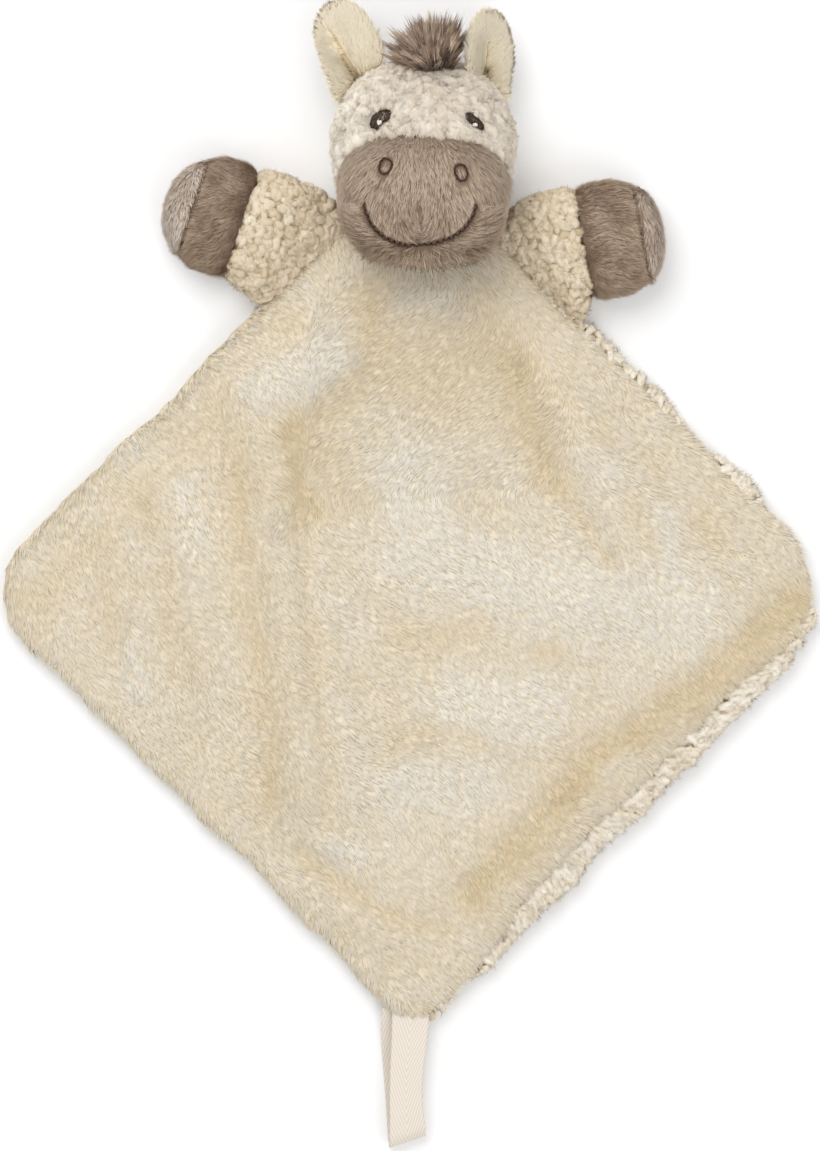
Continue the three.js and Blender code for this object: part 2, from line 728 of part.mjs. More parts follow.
function limbSolid(sections, sides, way) {
  const geometry = limbGeometry(sections, sides);
  if (way < 0) {
    const index = geometry.index.array;
    for (let i = 0; i < index.length; i += 3) [index[i], index[i + 1]] = [index[i + 1], index[i]];
  }
  return solidFrom(geometry);
}

// Everything between two distances along an arm from its root
function armSlab(directions, start, end) {
  const slab = new THREE.BoxGeometry(end - start, cutReach, cutReach);
  slab.translate((start + end) / 2, 0, 0);
  slab.rotateZ(directions.angle);
  slab.translate(directions.root.x, directions.root.y, 0);
  return solidFrom(slab);
}

function arm(side, directions, sleeveLength, headRoom) {
  const { way } = directions;
  const fillingInset = armCoverThickness + clearance;
  const hollowSections = armSections(directions, sleeveLength, armCoverThickness, hollowStartStation);
  const fillingSections = armSections(directions, sleeveLength, fillingInset, hollowStartStation);
  fillingSections[0].middle.addScaledVector(directions.along, clearance);
  const outer = limbSolid(armSections(directions, sleeveLength, 0, 0), limbSides, way);
  const hollow = limbSolid(hollowSections, hollowSides, way);
  const filling = limbSolid(fillingSections, hollowSides, way);
  const shell = outer.subtract(hollow).subtract(floor).subtract(headRoom);
  const sleeveEnd = sleeveLength - clearance / 2;
  const hoofStart = sleeveLength + clearance / 2;
  const hoofEnd = sleeveLength + hoofLength - clearance / 2;
  const soleStart = sleeveLength + hoofLength + clearance / 2;
  const sleeve = shell.intersect(armSlab(directions, -cutReach / 2, sleeveEnd));
  const hoof = shell.intersect(armSlab(directions, hoofStart, hoofEnd));
  const sole = shell.intersect(armSlab(directions, soleStart, cutReach / 2));
  return [
    piece(`sleeve_${side}`, geometryFrom(sleeve), finishes.creamFleece),
    piece(`hoof_${side}`, geometryFrom(hoof), finishes.hoofPlush),
    piece(`hoof_sole_${side}`, geometryFrom(sole), finishes.solePlush),
    piece(`arm_stuffing_${side}`, geometryFrom(filling.subtract(headRoom)), finishes.fibre),
  ];
}

// Tape loop, seen from the side: two layers that part towards a round end
function hangerLoop() {
  const outerRadius = loopOpenHeight / 2 + tapeThickness;
  const rootAt = -cornerReach + bottomCornerRadius * (Math.SQRT2 - 1) - hingeGap;
  const endAt = rootAt - loopLength + outerRadius;
  const side = new THREE.Shape();
  side.moveTo(rootAt, seamHeight + tapeThickness);
  side.lineTo(endAt, outerRadius * 2);
  side.absarc(endAt, outerRadius, outerRadius, Math.PI / 2, Math.PI * 1.5, false);
  side.lineTo(rootAt, seamHeight - tapeThickness);
  side.closePath();
  const hole = new THREE.Path();
  const meetAt = rootAt - tapeWidth / 2;
  hole.moveTo(meetAt, seamHeight);
  hole.lineTo(endAt, outerRadius * 2 - tapeThickness);
  hole.absarc(endAt, outerRadius, loopOpenHeight / 2, Math.PI / 2, Math.PI * 1.5, false);
  hole.lineTo(meetAt, seamHeight);
  side.holes.push(hole);
  const options = { depth: tapeWidth, bevelEnabled: false, curveSegments: tapeSteps };
  const tape = new THREE.ExtrudeGeometry(side, options);
  tape.translate(0, 0, -tapeWidth / 2);
  tape.applyMatrix4(new THREE.Matrix4().makeBasis(
    new THREE.Vector3(0, 1, 0), new THREE.Vector3(0, 0, 1), new THREE.Vector3(1, 0, 0)));
  tape.translate(loopAsideDistance, 0, 0);
  return piece('hanger_loop', tape, finishes.cottonTape);
}

function comfortBlanket() {
  const group = new THREE.Group();
  const limbRoom = headForm(coverDetail, limbGap);
  const lockRoom = headForm(coverDetail, clearance);
  group.add(blanketFront(), blanketBack(), hangerLoop());
  group.add(...headCovers(), headStuffing(), ...eyes(), ...nostrils(), smileStitch());
  group.add(...ears(limbRoom), forelock(lockRoom));
  const leftArm = armDirections(-1, leftArmAngle, leftArmNeckDistance, leftHoofShiftDistance);
  const rightArm = armDirections(1, rightArmAngle, rightArmNeckDistance, rightHoofShiftDistance);
  group.add(...arm('left', leftArm, leftSleeveLength, limbRoom));
  group.add(...arm('right', rightArm, rightSleeveLength, limbRoom));
  return group;
}

const group = comfortBlanket();

export default group;
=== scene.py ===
import json
import math
import bpy
import numpy as np
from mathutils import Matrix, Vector
from mathutils.bvhtree import BVHTree
from mathutils.kdtree import KDTree

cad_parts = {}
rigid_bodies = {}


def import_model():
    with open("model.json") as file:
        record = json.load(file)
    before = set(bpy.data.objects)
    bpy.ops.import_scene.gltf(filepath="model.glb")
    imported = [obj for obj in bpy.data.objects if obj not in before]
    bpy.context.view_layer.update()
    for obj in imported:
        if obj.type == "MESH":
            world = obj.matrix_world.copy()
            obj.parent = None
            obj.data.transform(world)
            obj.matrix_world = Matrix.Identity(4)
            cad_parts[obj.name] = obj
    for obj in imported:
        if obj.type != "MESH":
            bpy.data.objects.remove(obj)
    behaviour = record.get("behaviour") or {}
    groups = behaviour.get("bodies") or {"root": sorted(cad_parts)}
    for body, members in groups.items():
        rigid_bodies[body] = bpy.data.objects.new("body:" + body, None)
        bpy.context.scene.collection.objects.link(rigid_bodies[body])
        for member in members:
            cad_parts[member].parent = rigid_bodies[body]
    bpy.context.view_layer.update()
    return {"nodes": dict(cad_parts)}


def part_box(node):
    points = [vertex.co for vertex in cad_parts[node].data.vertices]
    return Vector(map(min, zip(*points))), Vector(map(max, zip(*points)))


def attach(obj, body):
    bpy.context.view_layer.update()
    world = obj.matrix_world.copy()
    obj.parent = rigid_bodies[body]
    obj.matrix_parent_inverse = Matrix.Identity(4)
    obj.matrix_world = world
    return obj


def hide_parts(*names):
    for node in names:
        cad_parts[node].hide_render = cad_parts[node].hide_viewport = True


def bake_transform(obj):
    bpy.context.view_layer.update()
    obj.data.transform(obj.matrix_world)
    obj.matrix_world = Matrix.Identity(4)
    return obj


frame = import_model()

mm = 0.001
up = np.array([0.0, 0.0, 1.0])
onTable = 0.2 * mm  # lowest that cloth reaches

# The photograph was taken from straight above
pixelSize = 0.4  # mm of the table in one pixel
photoMiddle = (415.0, 591.5)  # pixel over the frame's origin
photoHeight = 1151 * pixelSize * mm
viewCentre = np.array([-2.0 * mm, 6.4 * mm])
lensLength = 350.0
sensorWidth = 36.0
scaleHeight = 12 * mm  # above the table, where the frame is as high as photoHeight
eyeHeight = lensLength * photoHeight / sensorWidth + scaleHeight


# Small helpers

def report(text):
    print("made:", text)


def pick(obj):
    bpy.ops.object.select_all(action="DESELECT")
    obj.select_set(True)
    bpy.context.view_layer.objects.active = obj


def editAll(obj, operator, **settings):
    # one edit mode operator on a whole mesh
    pick(obj)
    bpy.ops.object.mode_set(mode="EDIT")
    bpy.ops.mesh.select_all(action="SELECT")
    operator(**settings)
    bpy.ops.object.mode_set(mode="OBJECT")


def photoPoint(px, py, height=0.0):
    # photograph pixel to the frame's plan, at a height
    plan = np.array([(px - photoMiddle[0]) * pixelSize * mm, (photoMiddle[1] - py) * pixelSize * mm])
    return plan if height == 0 else viewCentre + (plan - viewCentre) * (1 - height / eyeHeight)


def planRoute(route):
    return [photoPoint(px, py) for px, py in route]


def copyNodes(name, *nodes):
    # one merged mesh, free to change, from solids of the frame
    parts = []
    for node in nodes:
        part = bpy.data.objects.new(name, frame["nodes"][node].data.copy())
        bpy.context.scene.collection.objects.link(part)
        parts.append(part)
    pick(parts[0])
    for part in parts:
        part.select_set(True)
    if len(parts) > 1:
        bpy.ops.object.join()
    obj = bpy.context.view_layer.objects.active
    obj.name = name
    obj.data.name = name
    obj.data.materials.clear()
    editAll(obj, bpy.ops.mesh.remove_doubles, threshold=0.02 * mm)
    return obj


def applyModifier(obj, kind, **settings):
    pick(obj)
    modifier = obj.modifiers.new(kind.title(), kind)
    for key, value in settings.items():
        setattr(modifier, key, value)
    bpy.ops.object.modifier_apply(modifier=modifier.name)


def getPoints(obj):
    points = np.empty(len(obj.data.vertices) * 3)
    obj.data.vertices.foreach_get("co", points)
    return points.reshape(-1, 3)


def setPoints(obj, points):
    obj.data.vertices.foreach_set("co", points.ravel())
    obj.data.update()


def getNormals(obj):
    normals = np.empty(len(obj.data.vertices) * 3)
    obj.data.vertex_normals.foreach_get("vector", normals)
    return normals.reshape(-1, 3)


def aboveTable(obj, lowest=onTable):
    points = getPoints(obj)
    points[:, 2] = np.maximum(points[:, 2], lowest)
    setPoints(obj, points)


def shadeSmooth(obj):
    for polygon in obj.data.polygons:
        polygon.use_smooth = True


def unit(vectors):
    return vectors / np.maximum(np.linalg.norm(vectors, axis=-1, keepdims=True), 1e-9)


def smooth01(low, high, values):
    share = np.clip((values - low) / (high - low), 0, 1)
    return share * share * (3 - 2 * share)


def bell(distances, reach):
    # 1 at no distance, falling off softly
    return np.exp(-(distances / reach) ** 2)


def softNoise(points, size, seed):
    # sum of slanted waves about one size long, roughly -1 to 1
    draw = np.random.default_rng(seed)
    total = np.zeros(len(points))
    for _ in range(9):
        wave = unit(draw.normal(size=3)) * (2 * math.pi / (size * draw.uniform(0.7, 1.6)))
        total += np.sin(points @ wave + draw.uniform(0, 2 * math.pi))
    return total / 3.0


def pointTree(points):
    tree = KDTree(len(points))
    for index, point in enumerate(points):
        tree.insert(point, index)
    tree.balance()
    return tree


def distanceTo(points, targets):
    # from each point to the nearest of the targets
    tree = pointTree(targets)
    return np.array([tree.find(point)[2] for point in points])


def asSeen(points):
    # where the camera sees points against the table
    return viewCentre + (points[:, :2] - viewCentre) * eyeHeight / (eyeHeight - points[:, 2:3])


def lineDistance(points, route):
    # distance, as the camera sees it, to a broken line of plan points
    best = np.full(len(points), 1e9)
    seen = asSeen(points)
    for a, b in zip(route[:-1], route[1:]):
        a, b = np.asarray(a), np.asarray(b)
        along = b - a
        share = np.clip(((seen - a) @ along) / (along @ along), 0, 1)
        best = np.minimum(best, np.linalg.norm(seen - a - share[:, None] * along, axis=1))
    return best


# Cloth skins from the frame's soft solids

def largestShell(obj):
    # keeps the outer skin when a remesh leaves closed pockets inside
    editAll(obj, bpy.ops.mesh.separate, type="LOOSE")
    shells = list(bpy.context.selected_objects)
    shells.sort(key=lambda shell: len(shell.data.vertices))
    keep = shells.pop()
    for shell in shells:
        bpy.data.objects.remove(shell)
    return keep


def stuffedForm(name, nodes, voxel):
    # the whole stuffed part as one closed skin
    form = copyNodes(name, *nodes)
    applyModifier(form, "REMESH", mode="VOXEL", voxel_size=voxel)
    form = largestShell(form)
    applyModifier(form, "SMOOTH", factor=0.5, iterations=6)
    return form


def inflate(form, settings, pinned):
    # short cloth run under pressure, held at the seams, with its movement capped
    before = getPoints(form)
    group = form.vertex_groups.new(name="seams")
    for index in np.nonzero(pinned)[0]:
        group.add([int(index)], 1.0, "REPLACE")
    pick(form)
    cloth = form.modifiers.new("Cloth", "CLOTH")
    cloth.settings.use_pressure = True
    cloth.settings.uniform_pressure_force = settings["pressure"]
    cloth.settings.vertex_group_mass = "seams"
    cloth.settings.pin_stiffness = 1.0
    cloth.settings.tension_stiffness = 12
    cloth.settings.compression_stiffness = 12
    cloth.settings.bending_stiffness = 0.8
    cloth.settings.effector_weights.gravity = 0
    cloth.collision_settings.use_collision = False
    cloth.point_cache.frame_start = 1
    cloth.point_cache.frame_end = settings["frames"]
    for frameNumber in range(1, settings["frames"] + 1):
        bpy.context.scene.frame_set(frameNumber)
    evaluated = form.evaluated_get(bpy.context.evaluated_depsgraph_get())
    after = np.empty(len(before) * 3)
    evaluated.data.vertices.foreach_get("co", after)
    after = after.reshape(-1, 3)
    form.modifiers.clear()
    bpy.context.scene.frame_set(1)
    move = after - before
    size = np.linalg.norm(move, axis=1, keepdims=True)
    move *= np.minimum(1, settings["cap"] / np.maximum(size, 1e-9))
    return before, before + np.nan_to_num(move)


def carry(obj, before, after):
    # moves a cover with the stuffed form that it lies on
    move = after - before
    tree = pointTree(before)
    points = getPoints(obj)
    for index, point in enumerate(points):
        near = tree.find_n(point, 4)
        weights = np.array([1 / (distance + 1e-5) for _, _, distance in near])
        points[index] += (move[[i for _, i, _ in near]] * weights[:, None]).sum(0) / weights.sum()
    setPoints(obj, points)


def coverSkin(name, node, voxel, rounds=8):
    skin = copyNodes(name, node)
    applyModifier(skin, "REMESH", mode="VOXEL", voxel_size=voxel)
    skin = largestShell(skin)
    applyModifier(skin, "SMOOTH", factor=0.5, iterations=rounds)
    skin.name = name
    shadeSmooth(skin)
    return skin


def treeOf(*objects):
    points, faces = [], []
    for obj in objects:
        start = len(points)
        points += [tuple(point) for point in getPoints(obj)]
        faces += [[start + v for v in polygon.vertices] for polygon in obj.data.polygons]
    return BVHTree.FromPolygons(points, faces)


def heightField(obj, step):
    # top of a lying skin, looked up by place in plan
    tree = treeOf(obj)
    points = getPoints(obj)
    low, high = points.min(axis=0) - 2 * step, points.max(axis=0) + 2 * step
    rows, columns = (int((high[k] - low[k]) / step) + 1 for k in range(2))
    table = np.zeros((rows, columns))
    for i in range(rows):
        for j in range(columns):
            spot = Vector((low[0] + i * step, low[1] + j * step, 0.2))
            hit = tree.ray_cast(spot, Vector((0, 0, -1)))
            table[i, j] = hit[0].z if hit[0] else -1.0

    def top(places):
        across = np.clip((places[:, 0] - low[0]) / step, 0, rows - 1.001)
        along = np.clip((places[:, 1] - low[1]) / step, 0, columns - 1.001)
        i, j = across.astype(int), along.astype(int)
        s, t = across - i, along - j
        near = table[i, j] * (1 - t) + table[i, j + 1] * t
        far = table[i + 1, j] * (1 - t) + table[i + 1, j + 1] * t
        return near * (1 - s) + far * s
    return top


# Scattering, pile and curls

def scatter(obj, count, seed, weight=None):
    # random points over a skin, with their normals; weight(points, normals) thins them
    mesh = obj.data
    mesh.calc_loop_triangles()
    corners = np.empty(len(mesh.loop_triangles) * 3, dtype=np.int32)
    mesh.loop_triangles.foreach_get("vertices", corners)
    corners = corners.reshape(-1, 3)
    points, normals = getPoints(obj), getNormals(obj)
    a, b, c = (points[corners[:, k]] for k in range(3))
    area = np.linalg.norm(np.cross(b - a, c - a), axis=1) / 2
    middleNormals = unit(normals[corners].sum(axis=1))
    if weight is not None:
        area = area * weight((a + b + c) / 3, middleNormals)
    draw = np.random.default_rng(seed)
    chosen = draw.choice(len(area), size=count, p=area / area.sum())
    s, t = draw.random(count), draw.random(count)
    flip = s + t > 1
    s[flip], t[flip] = 1 - s[flip], 1 - t[flip]
    shares = np.stack([1 - s - t, s, t], axis=1)[:, :, None]
    found = (points[corners[chosen]] * shares).sum(axis=1)
    foundNormals = unit((normals[corners[chosen]] * shares).sum(axis=1))
    return found, foundNormals, draw


def meshFromArrays(name, points, faces, uvs, material, normals=None):
    # faces is an array of triangles, uvs one pair for each of their corners
    mesh = bpy.data.meshes.new(name)
    mesh.vertices.add(len(points))
    mesh.vertices.foreach_set("co", np.ascontiguousarray(points, dtype=np.float32).ravel())
    mesh.loops.add(faces.size)
    mesh.loops.foreach_set("vertex_index", np.ascontiguousarray(faces, dtype=np.int32).ravel())
    mesh.polygons.add(len(faces))
    mesh.polygons.foreach_set("loop_start", np.arange(0, faces.size, 3, dtype=np.int32))
    mesh.polygons.foreach_set("use_smooth", np.ones(len(faces), dtype=bool))
    layer = mesh.uv_layers.new(name="OFBake")
    layer.data.foreach_set("uv", np.ascontiguousarray(uvs, dtype=np.float32).ravel())
    mesh.update(calc_edges=True)
    mesh.validate()
    if normals is not None:
        mesh.normals_split_custom_set_from_vertices(normals)
    mesh.materials.append(material)
    obj = bpy.data.objects.new(name, mesh)
    bpy.context.scene.collection.objects.link(obj)
    return obj


def palette(tints, heights, faces):
    # small colour chart: across it the tint, up it the way from root to tip
    u = 0.03 + 0.94 * np.clip(tints, 0, 1)
    v = 0.02 + 0.96 * heights
    pairs = np.stack([np.broadcast_to(u[:, None], heights.shape), v], axis=-1).reshape(-1, 2)
    uvs = pairs[faces]
    spread = np.array([[-0.008, 0.0], [0.008, 0.0], [0.0, 0.008]])
    return np.clip(uvs + spread, 0.001, 0.999)


def lockTogether(points, settings, draw):
    # neighbouring fibres lean to one shared tip: gives each fibre's lean, pull and change of tint
    if "each" not in settings:
        return 0.0, 0.0, 0.0
    locks = max(len(points) // settings["each"], 1)
    tree = pointTree(points[:locks])
    nearest = np.array([tree.find(point)[1] for point in points])
    pull = (points[nearest] - points) * settings["gather"]
    lean = draw.normal(0, settings["lockStray"], (locks, 3))[nearest]
    return lean, pull, draw.normal(0, settings["lockTint"], locks)[nearest]


def scatterAlong(skin, settings, flow, weight):
    # scattered points, their normals and the way that the nap runs at each of them
    points, normals, draw = scatter(skin, settings["count"], settings["seed"], weight)
    course = flow(points, normals)
    course = unit(course - normals * (course * normals).sum(axis=1, keepdims=True))
    swing = draw.normal(0, settings["stray"], len(points))[:, None]
    course = unit(course * np.cos(swing) + np.cross(normals, course) * np.sin(swing))
    return points, normals, course, draw


def growPile(name, skin, settings, flow, tint, material, weight=None):
    # one tapered bundle of fibres for each scattered point, as a closed mesh of four faces
    points, normals, course, draw = scatterAlong(skin, settings, flow, weight)
    count = len(points)
    lift = settings["lift"] + draw.normal(0, settings["liftStray"], count)
    lift = np.clip(lift, 0.08, 1.4)[:, None]
    rise = unit(course * np.cos(lift) + normals * np.sin(lift))
    side = unit(np.cross(rise, normals) + 1e-6)
    face = np.cross(side, rise)
    length = settings["length"] * draw.uniform(0.7, 1.15, count)[:, None]
    if "stop" in settings:
        kept = settings["stop"](points, course, length)
        if "across" in settings:
            kept = np.where(draw.random(count) < settings["across"], 1.0, kept)
        length = length * kept[:, None]
    lean, pull, lockTint = lockTogether(points, settings, draw)
    # a share of thinner, darker fibres: partly the pile's own mixed hairs, partly painted shade where the
    # pile parts
    dark = draw.random(count) < settings.get("darkShare", 0)
    half = (settings["width"] / 2 * draw.uniform(0.7, 1.3, count) * np.where(dark, 0.7, 1.0))[:, None]
    root = points - normals * settings["sink"]
    tip = root + rise * length + pull + lean * length
    if "over" in settings:
        # the tip stays above the folds of the cloth that it lies on
        tip[:, 2] = np.maximum(tip[:, 2], settings["over"](tip) + draw.uniform(0.2, 0.7, count) * mm)
    ridge = face * half * settings.get("ridge", 0.6)
    vertices = np.stack([root + side * half, root - side * half, root + ridge, tip], axis=1).reshape(-1, 3)
    vertices[:, 2] = np.maximum(vertices[:, 2], settings.get("floor", -1))
    # each bundle is lit like the soft surface that it is part of
    shading = normals[:, None] * settings["soft"] + face[:, None] * (1 - settings["soft"])
    shading = shading + np.array(settings.get("lean", (0, 0, 0)))
    shading = unit(shading + side[:, None] * np.array([1, -1, 0, 0])[None, :, None] * settings["round"])
    template = np.array([[0, 2, 1], [0, 1, 3], [1, 2, 3], [2, 0, 3]])
    faces = (np.arange(count)[:, None, None] * 4 + template[None]).reshape(-1, 3)
    tints = tint(points, normals) + lockTint + draw.normal(0, settings["tintStray"], count)
    tints -= settings.get("darkStep", 0.5) * dark
    uvs = palette(tints, np.tile(np.array([0.0, 0.0, 0.0, 1.0]), (count, 1)), faces)
    return meshFromArrays(name, vertices, faces, uvs, material, shading.reshape(-1, 3))


def curlTemplate(steps, sides, arc, taper):
    # a short fat tube bent in an arc over the cloth, closed at both ends
    points, heights = [], []
    for step in range(steps):
        share = step / (steps - 1)
        angle = (share - 0.5) * arc
        centre = np.array([math.sin(angle), 0.25 * math.sin(2.2 * angle), math.cos(angle)])
        outward = np.array([math.sin(angle), 0, math.cos(angle)])
        girth = 1 - taper * (2 * abs(share - 0.5)) ** 2.5
        for k in range(sides):
            turn = 2 * math.pi * k / sides
            offset = (outward * math.cos(turn) + np.array([0, 1, 0]) * math.sin(turn)) * girth
            points.append((centre, offset))
    faces = []
    for step in range(steps - 1):
        for k in range(sides):
            a, b = step * sides + k, step * sides + (k + 1) % sides
            faces += [[a, b + sides, b], [a, a + sides, b + sides]]
    last = (steps - 1) * sides
    for k in range(1, sides - 1):
        faces += [[0, k, k + 1], [last, last + k + 1, last + k]]
    return points, np.array(faces)


def growCurls(name, skin, settings, flow, tint, material, weight=None):
    # one fat little tube for each scattered point, some leaning over
    points, normals, course, draw = scatterAlong(skin, settings, flow, weight)
    count = len(points)
    tilt = draw.normal(0, settings["tilt"], count)[:, None]
    rise = unit(normals * np.cos(tilt) + np.cross(normals, course) * np.sin(tilt))
    across = np.cross(rise, course)
    template, faces = curlTemplate(settings["steps"], settings["sides"], settings["arc"], settings["taper"])
    centres = np.array([point[0] for point in template])
    offsets = np.array([point[1] for point in template])
    reach = settings["reach"] * draw.uniform(0.7, 1.3, (count, 1, 1))
    girth = settings["girth"] * draw.uniform(0.75, 1.25, (count, 1, 1))
    local = centres[None] * reach * np.array([1, 1, settings["height"]]) + offsets[None] * girth
    base = points[:, None] - rise[:, None] * settings["sink"]
    vertices = (base + local[..., 0:1] * course[:, None] + local[..., 1:2] * across[:, None]
                + local[..., 2:3] * rise[:, None]).reshape(-1, 3)
    wobble = softNoise(vertices, settings["wobbleSize"], settings["seed"] + 1)
    vertices = vertices + np.repeat(rise, len(centres), axis=0) * (wobble[:, None] * settings["wobble"])
    vertices[:, 2] = np.maximum(vertices[:, 2], settings["floor"])
    allFaces = (np.arange(count)[:, None, None] * len(centres) + faces[None]).reshape(-1, 3)
    # low on a curl takes the darker root colour: painted shade between the curls
    heights = local[..., 2] / (settings["reach"] * settings["height"] + settings["girth"])
    tints = tint(points, normals) + draw.normal(0, settings["tintStray"], count)
    uvs = palette(tints, np.clip(heights, 0, 1), allFaces)
    return meshFromArrays(name, vertices, allFaces, uvs, material)


def mottled(middle, spread, size, seed):
    # one tint that wanders a little over the cloth
    def tone(points, normals):
        return middle + spread * softNoise(points, size, seed)
    return tone


def facingUp(limit):
    # leaves out what turns further down than the limit
    def weight(points, normals):
        return np.where(normals[:, 2] > limit, 1.0, 0.0)
    return weight


# Materials

def nodeMaterial(name):
    material = bpy.data.materials.new(name)
    material.use_nodes = True
    nodes, links = material.node_tree.nodes, material.node_tree.links
    shader = nodes["Principled BSDF"]
    return material, nodes, links, shader


def rgb(red, green, blue):
    # written as on screen, 0 to 255
    def toLinear(value):
        value = value / 255
        return value / 12.92 if value <= 0.04045 else ((value + 0.055) / 1.055) ** 2.4
    return (toLinear(red), toLinear(green), toLinear(blue), 1.0)


def addRamp(nodes, links, source, stops):
    # a colour ramp fed by a socket; each stop is its position and its colour on screen
    ramp = nodes.new("ShaderNodeValToRGB")
    elements = ramp.color_ramp.elements
    while len(elements) > 1:
        elements.remove(elements[-1])
    elements[0].position, elements[0].color = stops[0][0], rgb(*stops[0][1:])
    for position, *colour in stops[1:]:
        elements.new(position).color = rgb(*colour)
    links.new(source, ramp.inputs["Fac"])
    return ramp.outputs["Color"]


def addChart(nodes, links):
    # the two directions of a piece's own map
    chart = nodes.new("ShaderNodeUVMap")
    chart.uv_map = "OFBake"
    parts = nodes.new("ShaderNodeSeparateXYZ")
    links.new(chart.outputs["UV"], parts.inputs["Vector"])
    return parts.outputs["X"], parts.outputs["Y"]


def setFinish(shader, roughness, specular, sheen=0.0, sheenRoughness=0.5):
    shader.inputs["Roughness"].default_value = roughness
    shader.inputs["Specular IOR Level"].default_value = specular
    shader.inputs["Sheen Weight"].default_value = sheen
    shader.inputs["Sheen Roughness"].default_value = sheenRoughness


def fibreMaterial(name, settings):
    # colour from the fibre's own chart: tint across, root to tip upwards; the darker roots are painted shade
    # deep in the pile
    material, nodes, links, shader = nodeMaterial(name)
    tint, way = addChart(nodes, links)
    height = nodes.new("ShaderNodeMapRange")
    height.interpolation_type = "SMOOTHSTEP"
    height.inputs["From Min"].default_value = settings["rootEnd"]
    height.inputs["From Max"].default_value = settings["tipStart"]
    links.new(way, height.inputs["Value"])
    mix = nodes.new("ShaderNodeMix")
    mix.data_type = "RGBA"
    links.new(height.outputs["Result"], mix.inputs["Factor"])
    links.new(addRamp(nodes, links, tint, settings["roots"]), mix.inputs["A"])
    links.new(addRamp(nodes, links, tint, settings["tips"]), mix.inputs["B"])
    links.new(mix.outputs["Result"], shader.inputs["Base Color"])
    setFinish(shader, settings["roughness"], settings["specular"], settings.get("sheen", 0.0), 0.4)
    return material


def backingMaterial(name, settings):
    # knitted backing that shows between the fibres
    material, nodes, links, shader = nodeMaterial(name)
    place = nodes.new("ShaderNodeTexCoord")
    broad = nodes.new("ShaderNodeTexNoise")
    broad.inputs["Scale"].default_value = settings["broadScale"]
    broad.inputs["Detail"].default_value = 3
    fine = nodes.new("ShaderNodeTexVoronoi")
    fine.inputs["Scale"].default_value = settings["fineScale"]
    links.new(place.outputs["Object"], broad.inputs["Vector"])
    links.new(place.outputs["Object"], fine.inputs["Vector"])
    stops = [(0.3, *settings["dark"]), (0.7, *settings["light"])]
    links.new(addRamp(nodes, links, broad.outputs["Fac"], stops), shader.inputs["Base Color"])
    bump = nodes.new("ShaderNodeBump")
    bump.inputs["Strength"].default_value = 0.5
    bump.inputs["Distance"].default_value = 0.3 * mm
    links.new(fine.outputs["Distance"], bump.inputs["Height"])
    links.new(bump.outputs["Normal"], shader.inputs["Normal"])
    setFinish(shader, 0.95, 0.1)
    return material


creamPile = fibreMaterial("creamPile", {
    "tips": [(0.0, 184, 168, 142), (0.25, 232, 210, 168), (0.55, 239, 223, 193),
             (0.8, 240, 229, 208), (1.0, 246, 239, 225)],
    "roots": [(0.0, 170, 154, 128), (0.6, 228, 211, 180), (1.0, 239, 227, 205)],
    "rootEnd": 0.0, "tipStart": 0.6, "roughness": 0.8, "specular": 0.1})
fleeceCurl = fibreMaterial("fleeceCurl", {
    "tips": [(0.0, 206, 188, 158), (0.5, 229, 215, 191), (1.0, 249, 242, 229)],
    "roots": [(0.0, 180, 158, 126), (0.5, 210, 193, 164), (1.0, 236, 223, 200)],
    "rootEnd": 0.1, "tipStart": 0.7, "roughness": 0.9, "specular": 0.1})
foreheadCurl = fibreMaterial("foreheadCurl", {
    "tips": [(0.0, 196, 182, 162), (0.5, 221, 209, 192), (1.0, 242, 234, 221)],
    "roots": [(0.0, 176, 160, 138), (0.5, 205, 191, 171), (1.0, 230, 219, 202)],
    "rootEnd": 0.1, "tipStart": 0.7, "roughness": 0.9, "specular": 0.1})
foreheadPile = fibreMaterial("foreheadPile", {
    "tips": [(0.0, 232, 219, 201), (1.0, 255, 246, 232)],
    "roots": [(0.0, 220, 206, 186), (1.0, 252, 240, 223)],
    "rootEnd": 0.0, "tipStart": 0.7, "roughness": 0.9, "specular": 0.1})
taupePile = fibreMaterial("taupePile", {
    "tips": [(0.0, 130, 107, 86), (0.5, 188, 163, 139), (1.0, 230, 210, 188)],
    "roots": [(0.0, 90, 71, 56), (1.0, 154, 130, 108)],
    "rootEnd": 0.1, "tipStart": 0.8, "roughness": 0.6, "specular": 0.2})
solePile = fibreMaterial("solePile", {
    "tips": [(0.0, 176, 155, 136), (0.5, 228, 211, 194), (1.0, 246, 235, 222)],
    "roots": [(0.0, 140, 118, 100), (1.0, 188, 166, 146)],
    "rootEnd": 0.1, "tipStart": 0.8, "roughness": 0.6, "specular": 0.2})
earPile = fibreMaterial("earPile", {
    "tips": [(0.0, 112, 94, 68), (0.25, 204, 188, 156), (0.6, 248, 233, 203),
             (1.0, 255, 243, 219)],
    "roots": [(0.0, 66, 50, 32), (0.25, 172, 153, 120), (0.6, 222, 204, 170),
              (1.0, 236, 220, 188)],
    "rootEnd": 0.1, "tipStart": 0.7, "roughness": 0.8, "specular": 0.1})
forelockPile = fibreMaterial("forelockPile", {
    "tips": [(0.0, 82, 64, 50), (0.5, 148, 122, 101), (1.0, 226, 202, 175)],
    "roots": [(0.0, 58, 43, 32), (1.0, 102, 82, 66)],
    "rootEnd": 0.05, "tipStart": 0.75, "roughness": 0.5, "specular": 0.35, "sheen": 0.1})
# a little darker than the pile, so the gaps between fibres read as fine lines of painted shade
creamBacking = backingMaterial("creamBacking", {
    "dark": (206, 190, 160), "light": (220, 206, 180), "broadScale": 30, "fineScale": 900})
